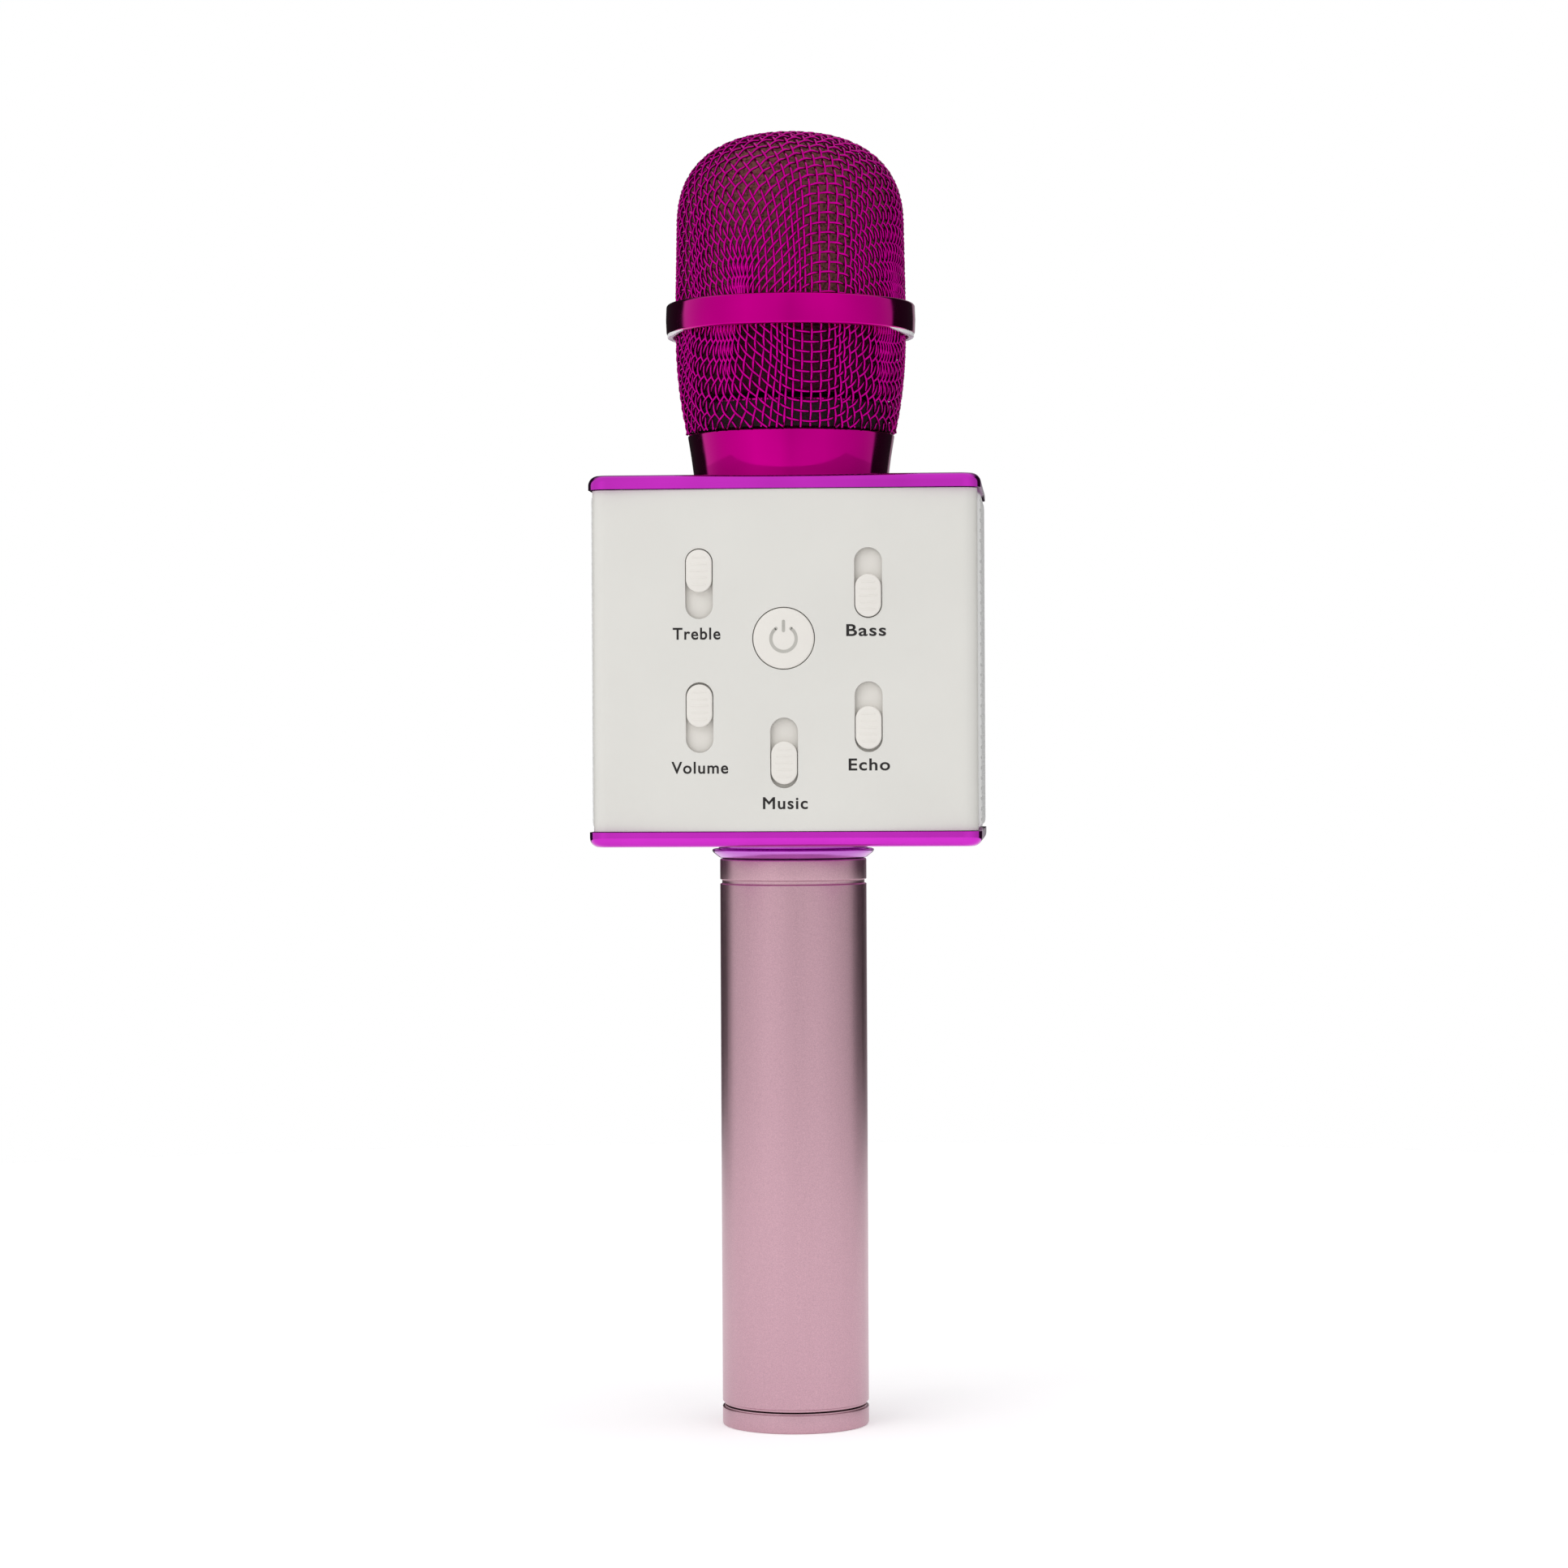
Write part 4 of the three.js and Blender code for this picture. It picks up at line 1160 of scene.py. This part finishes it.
class MICROPHONE_OT_labels(bpy.types.Operator):
    """Prints the plain function words under the sliders"""

    bl_idname = "microphone.labels"
    bl_label = "Function words"

    # height of a capital in the font, for a text size of 1
    CAPITAL = 0.729
    WORDS = {
        # slider: word, middle in x, baseline, width, all in mm
        "treble": ("Treble", -17.1, 158.1, 9.4),
        "bass": ("Bass", 16.2, 158.6, 7.8),
        "volume": ("Volume", -16.6, 131.8, 11.2),
        "echo": ("Echo", 16.7, 132.3, 8.1),
        "music": ("Music", 0.2, 124.8, 8.8),
    }

    def execute(self, context):
        for name, (word, x, baseline, width) in self.WORDS.items():
            text = bpy.data.curves.new(f"{name}_word", "FONT")
            text.body = word
            text.size = 1.0
            text.space_character = 1.12
            text.bevel_depth = 0.018
            text.bevel_resolution = 0
            text.resolution_u = 6
            text.extrude = 0.01
            writer = bpy.data.objects.new("writer", text)
            bpy.context.scene.collection.objects.link(writer)
            bpy.context.view_layer.update()
            mesh = bpy.data.meshes.new_from_object(writer)
            bpy.data.objects.remove(writer)
            bm = bmesh.new()
            bm.from_mesh(mesh)
            bpy.data.meshes.remove(mesh)
            left = min(vert.co.x for vert in bm.verts)
            right = max(vert.co.x for vert in bm.verts)
            for vert in bm.verts:
                along = ((vert.co.x - left) / (right - left) - 0.5) * width * MM + x * MM
                up = vert.co.y / self.CAPITAL * sizes().letter + baseline * MM
                depth = face_depth(along) + (0.012 * MM if vert.co.z < 0 else -0.018 * MM)
                vert.co = Vector((along, depth, up))
            bmesh.ops.recalc_face_normals(bm, faces=bm.faces)
            make_piece(bm, f"{name}_label", "letter_ink", "body")
        return {"FINISHED"}


GRILLE_EDGE = 1.6 * MM
GRILLE_SHEET = 0.5 * MM


def grille_cell(radius, width, height):
    """One cell of the perforated sheet: a rectangle with a hole in it, or a plain one for radius 0."""
    bm = bmesh.new()
    directions = [math.pi / 4 * step for step in range(8)]
    outside = []
    for angle in directions:
        across = round(math.cos(angle), 6)
        up = round(math.sin(angle), 6)
        right = 0 if across == 0 else math.copysign(width / 2, across)
        top = 0 if up == 0 else math.copysign(height / 2, up)
        outside.append(bm.verts.new((0, right, top)))
    if radius == 0:
        bm.faces.new(outside)
        return bm
    inside = [bm.verts.new((0, radius * math.cos(angle), radius * math.sin(angle))) for angle in directions]
    for step in range(8):
        after = (step + 1) % 8
        bm.faces.new((outside[step], outside[after], inside[after], inside[step]))
    return bm


def stamp(sheet, cell, place):
    """Adds a copy of a cell's mesh to the sheet at a place."""
    before = len(sheet.verts)
    sheet.from_mesh(cell)
    sheet.verts.ensure_lookup_table()
    bmesh.ops.translate(sheet, verts=sheet.verts[before:], vec=place)


def trim(bm, point, normal):
    geom = bm.verts[:] + bm.edges[:] + bm.faces[:]
    bmesh.ops.bisect_plane(bm, geom=geom, dist=1e-7, plane_co=point, plane_no=normal, clear_outer=True)


def perforated_sheet(half_width, half_height):
    """A flat sheet of staggered holes with a plain border, in Y and Z about the origin."""
    radius, pitch = sizes().hole, sizes().hole_pitch
    step = pitch * math.sqrt(3) / 2
    border = 0.55 * MM
    cells = []
    for hole in (radius, 0):
        cell = grille_cell(hole, step, pitch)
        mesh = bpy.data.meshes.new("cell")
        cell.to_mesh(mesh)
        cell.free()
        cells.append(mesh)
    sheet = bmesh.new()
    columns = math.ceil(half_width / step)
    rows = math.ceil(half_height / pitch) + 1
    for column in range(-columns, columns + 1):
        shift = pitch / 2 if column % 2 else 0
        for row in range(-rows, rows + 1):
            place = Vector((0, column * step, row * pitch + shift))
            inside_sides = abs(place.y) + radius < half_width - border
            inside_ends = abs(place.z) + radius < half_height - border
            stamp(sheet, cells[0 if inside_sides and inside_ends else 1], place)
    for mesh in cells:
        bpy.data.meshes.remove(mesh)
    bmesh.ops.remove_doubles(sheet, verts=sheet.verts, dist=1e-6)
    for side in (-1, 1):
        trim(sheet, (0, side * half_width, 0), (0, side, 0))
        trim(sheet, (0, 0, side * half_height), (0, 0, side))
    return sheet


def wrap_sheet(bm, outside, flat_y, flat_z, centre_z, side, thickness):
    """Rolls a flat sheet's four edges inwards and gives it its thickness."""
    for vert in bm.verts:
        turns = []
        for axis, flat in ((1, flat_y), (2, flat_z)):
            over = max(0.0, abs(vert.co[axis]) - flat)
            angle = min(over / GRILLE_EDGE, math.pi / 2)
            turns.append(math.cos(angle))
            if over > 0:
                vert.co[axis] = math.copysign(flat + GRILLE_EDGE * math.sin(angle), vert.co[axis])
        vert.co.x = side * (outside - GRILLE_EDGE * (1 - turns[0] * turns[1]))
        vert.co.z += centre_z
    bm.normal_update()
    middle_face = max(bm.faces, key=lambda face: side * face.calc_center_median().x)
    if middle_face.normal.x * side < 0:
        bmesh.ops.reverse_faces(bm, faces=bm.faces)
    bmesh.ops.solidify(bm, geom=bm.faces[:], thickness=thickness)


class MICROPHONE_OT_grilles(bpy.types.Operator):
    """Makes the perforated side grilles and the dark cloth behind them"""

    bl_idname = "microphone.grilles"
    bl_label = "Side grilles"

    def execute(self, context):
        for name, side in (("left", -1), ("right", 1)):
            node = f"side_grille_{name}"
            lo, hi = low(node), high(node)
            outside = max(abs(lo.x), abs(hi.x))
            flat_y = hi.y - GRILLE_EDGE
            flat_z = (hi.z - lo.z) / 2 - GRILLE_EDGE
            curl = GRILLE_EDGE * math.pi / 2
            sheet = perforated_sheet(flat_y + curl, flat_z + curl)
            wrap_sheet(sheet, outside, flat_y, flat_z, middle(node).z, side, GRILLE_SHEET)
            make_piece(sheet, f"grille_{name}", "white_mesh", "body", [node], 50)

            cloth = bmesh.new()
            bmesh.ops.create_grid(
                cloth, x_segments=40, y_segments=40, size=1,
                matrix=Matrix.Rotation(math.pi / 2, 4, "Y") @ Matrix.Diagonal((flat_z, flat_y, 1, 1)),
            )
            wrap_sheet(cloth, outside - 0.8 * MM, flat_y, flat_z, middle(node).z, side, 0.3 * MM)
            make_piece(cloth, f"grille_cloth_{name}", "speaker_cloth", "body")
        return {"FINISHED"}


class MICROPHONE_OT_inner_finishes(bpy.types.Operator):
    """Gives every CAD node that stays its own finish"""

    bl_idname = "microphone.inner_finishes"
    bl_label = "Inner finishes"

    def execute(self, context):
        slots = {part["node"]: part["material_slot"] for part in frame["record"]["subparts"]}
        for name, node in frame["nodes"].items():
            for place in node.material_slots:
                place.material = material(slots[name])
        return {"FINISHED"}


# ---- stage ----------------------------------------------------------------------------------------
class MICROPHONE_OT_stage(bpy.types.Operator):
    """Sets a pale floor, a white tent of soft light with two dark gaps, and the camera"""

    bl_idname = "microphone.stage"
    bl_label = "Stage"

    # bearing from the front in degrees, and how bright the tent is there
    TENT = (
        (-180, 0.02), (-116, 0.02), (-112, 0.90), (-90, 0.86), (-62, 0.94), (-38, 1.08),
        (-10, 0.98), (3, 0.84), (20, 0.92), (41, 0.96), (73, 0.80), (92, 0.68),
        (110, 0.64), (113, 0.02), (158, 0.02), (163, 0.36), (180, 0.30),
    )
    ROOF = (0.95, 0.95, 0.95)
    ROOF_STARTS_AND_ENDS = (0.55, 0.85)

    def execute(self, context):
        self.add_floor()
        self.add_tent()
        self.add_lamp("key_lamp", (-0.55, -0.75, 0.75), 0.7, 2.2)
        self.add_lamp("top_lamp", (0.15, -0.05, 1.1), 0.9, 2.0)
        self.add_camera()
        context.scene.view_settings.view_transform = "Standard"
        return {"FINISHED"}

    def add_floor(self):
        bm = bmesh.new()
        bmesh.ops.create_circle(bm, cap_ends=True, radius=0.6, segments=96)
        mesh = bpy.data.meshes.new("floor")
        bm.to_mesh(mesh)
        bm.free()
        floor = bpy.data.objects.new("floor", mesh)
        bpy.context.scene.collection.objects.link(floor)
        finish = Finish("floor_paper", (0.90, 0.90, 0.90), 0.0, 0.7)
        finish.vary("Roughness", finish.noise(40, 2), 0.3, 0.7, 0.65, 0.75)
        finish.shader.inputs["Emission Color"].default_value = (1, 1, 1, 1)
        finish.shader.inputs["Emission Strength"].default_value = 0.27
        mesh.materials.append(finish.material)
        floor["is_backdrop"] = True

    def add_tent(self):
        """World light: bright in front and straight behind, dark in a gap on each side of the back."""
        world = bpy.data.worlds.new("tent")
        world.use_nodes = True
        bpy.context.scene.world = world
        tree = world.node_tree
        direction = tree.nodes.new("ShaderNodeTexCoord")
        split = tree.nodes.new("ShaderNodeSeparateXYZ")
        tree.links.new(direction.outputs["Generated"], split.inputs["Vector"])
        forward = tree.nodes.new("ShaderNodeMath")
        forward.operation = "MULTIPLY"
        forward.inputs[1].default_value = -1
        tree.links.new(split.outputs["Y"], forward.inputs[0])
        bearing = tree.nodes.new("ShaderNodeMath")
        bearing.operation = "ARCTAN2"
        tree.links.new(split.outputs["X"], bearing.inputs[0])
        tree.links.new(forward.outputs["Value"], bearing.inputs[1])
        ramp = tree.nodes.new("ShaderNodeValToRGB")
        tree.links.new(levels_node(tree, bearing.outputs["Value"], -math.pi, math.pi), ramp.inputs["Fac"])
        elements = ramp.color_ramp.elements
        elements.remove(elements[1])
        for index, (degrees, level) in enumerate(self.TENT):
            position = (degrees + 180) / 360
            stop = elements[0] if index == 0 else elements.new(position)
            stop.position = position
            stop.color = (level, level, level, 1)
        high_up = levels_node(tree, split.outputs["Z"], *self.ROOF_STARTS_AND_ENDS)
        tone = mix_node(tree, high_up, ramp.outputs["Color"], self.ROOF)
        background = tree.nodes["Background"]
        tree.links.new(tone, background.inputs["Color"])
        plain = tree.nodes.new("ShaderNodeBackground")
        plain.inputs["Color"].default_value = (1, 1, 1, 1)
        seen = tree.nodes.new("ShaderNodeLightPath")
        choose = tree.nodes.new("ShaderNodeMixShader")
        tree.links.new(seen.outputs["Is Camera Ray"], choose.inputs["Fac"])
        tree.links.new(background.outputs["Background"], choose.inputs[1])
        tree.links.new(plain.outputs["Background"], choose.inputs[2])
        tree.links.new(choose.outputs["Shader"], tree.nodes["World Output"].inputs["Surface"])

    def add_lamp(self, name, place, size, power):
        light = bpy.data.lights.new(name, "AREA")
        light.size = size
        light.energy = power
        lamp = bpy.data.objects.new(name, light)
        lamp.location = place
        aim = Vector((0, 0, 0.14)) - lamp.location
        lamp.rotation_euler = aim.to_track_quat("-Z", "Y").to_euler()
        lamp.visible_glossy = False
        bpy.context.scene.collection.objects.link(lamp)

    def add_camera(self):
        azimuth = math.radians(3.6)
        roll = math.radians(-0.28)
        distance = sizes().camera_distance
        right = Vector((math.cos(azimuth), math.sin(azimuth), 0))
        place = Vector((math.sin(azimuth), -math.cos(azimuth), 0)) * distance + Vector((0, 0, 0.1365))
        aim = Vector((0, 0, 0.12943)) - right * 0.0018
        data = bpy.data.cameras.new("camera")
        data.lens = 95.3
        data.sensor_width = 36
        data.clip_start = 0.01
        camera = bpy.data.objects.new("camera", data)
        turn = (aim - place).to_track_quat("-Z", "Y").to_matrix().to_4x4()
        camera.matrix_world = Matrix.Translation(place) @ turn @ Matrix.Rotation(roll, 4, "Z")
        bpy.context.scene.collection.objects.link(camera)
        bpy.context.scene.camera = camera


class MICROPHONE_PT_panel(bpy.types.Panel):
    """Lists the pieces of the microphone in the sidebar"""

    bl_idname = "MICROPHONE_PT_panel"
    bl_label = "Karaoke microphone"
    bl_space_type = "VIEW_3D"
    bl_region_type = "UI"
    bl_category = "Microphone"

    def draw(self, context):
        layout = self.layout
        for group in (context.scene.microphone_sizes, context.scene.microphone_colours):
            column = layout.column(align=True)
            for name in group.bl_rna.properties.keys():
                if name not in ("rna_type", "name"):
                    column.prop(group, name)
        for step in STEPS:
            layout.operator(step.bl_idname)


STEPS = (
    MICROPHONE_OT_stage,
    MICROPHONE_OT_handle,
    MICROPHONE_OT_plates,
    MICROPHONE_OT_shells,
    MICROPHONE_OT_knobs,
    MICROPHONE_OT_power_button,
    MICROPHONE_OT_labels,
    MICROPHONE_OT_grilles,
    MICROPHONE_OT_neck,
    MICROPHONE_OT_baskets,
    MICROPHONE_OT_band,
    MICROPHONE_OT_foam,
    MICROPHONE_OT_inner_finishes,
)
CLASSES = (MicrophoneSizes, MicrophoneColours, *STEPS, MICROPHONE_PT_panel)


def register():
    for cls in CLASSES:
        bpy.utils.register_class(cls)
    bpy.types.Scene.microphone_sizes = PointerProperty(type=MicrophoneSizes)
    bpy.types.Scene.microphone_colours = PointerProperty(type=MicrophoneColours)


def unregister():
    del bpy.types.Scene.microphone_colours
    del bpy.types.Scene.microphone_sizes
    for cls in reversed(CLASSES):
        bpy.utils.unregister_class(cls)


def main():
    register()
    for step in STEPS:
        group, _, name = step.bl_idname.partition(".")
        getattr(getattr(bpy.ops, group), name)()
    corners = {"cad": CAD_BOX, "visual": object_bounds()}
    boxes = {key: [list(corner) for corner in box] for key, box in corners.items()}


if __name__ == "__main__":
    main()
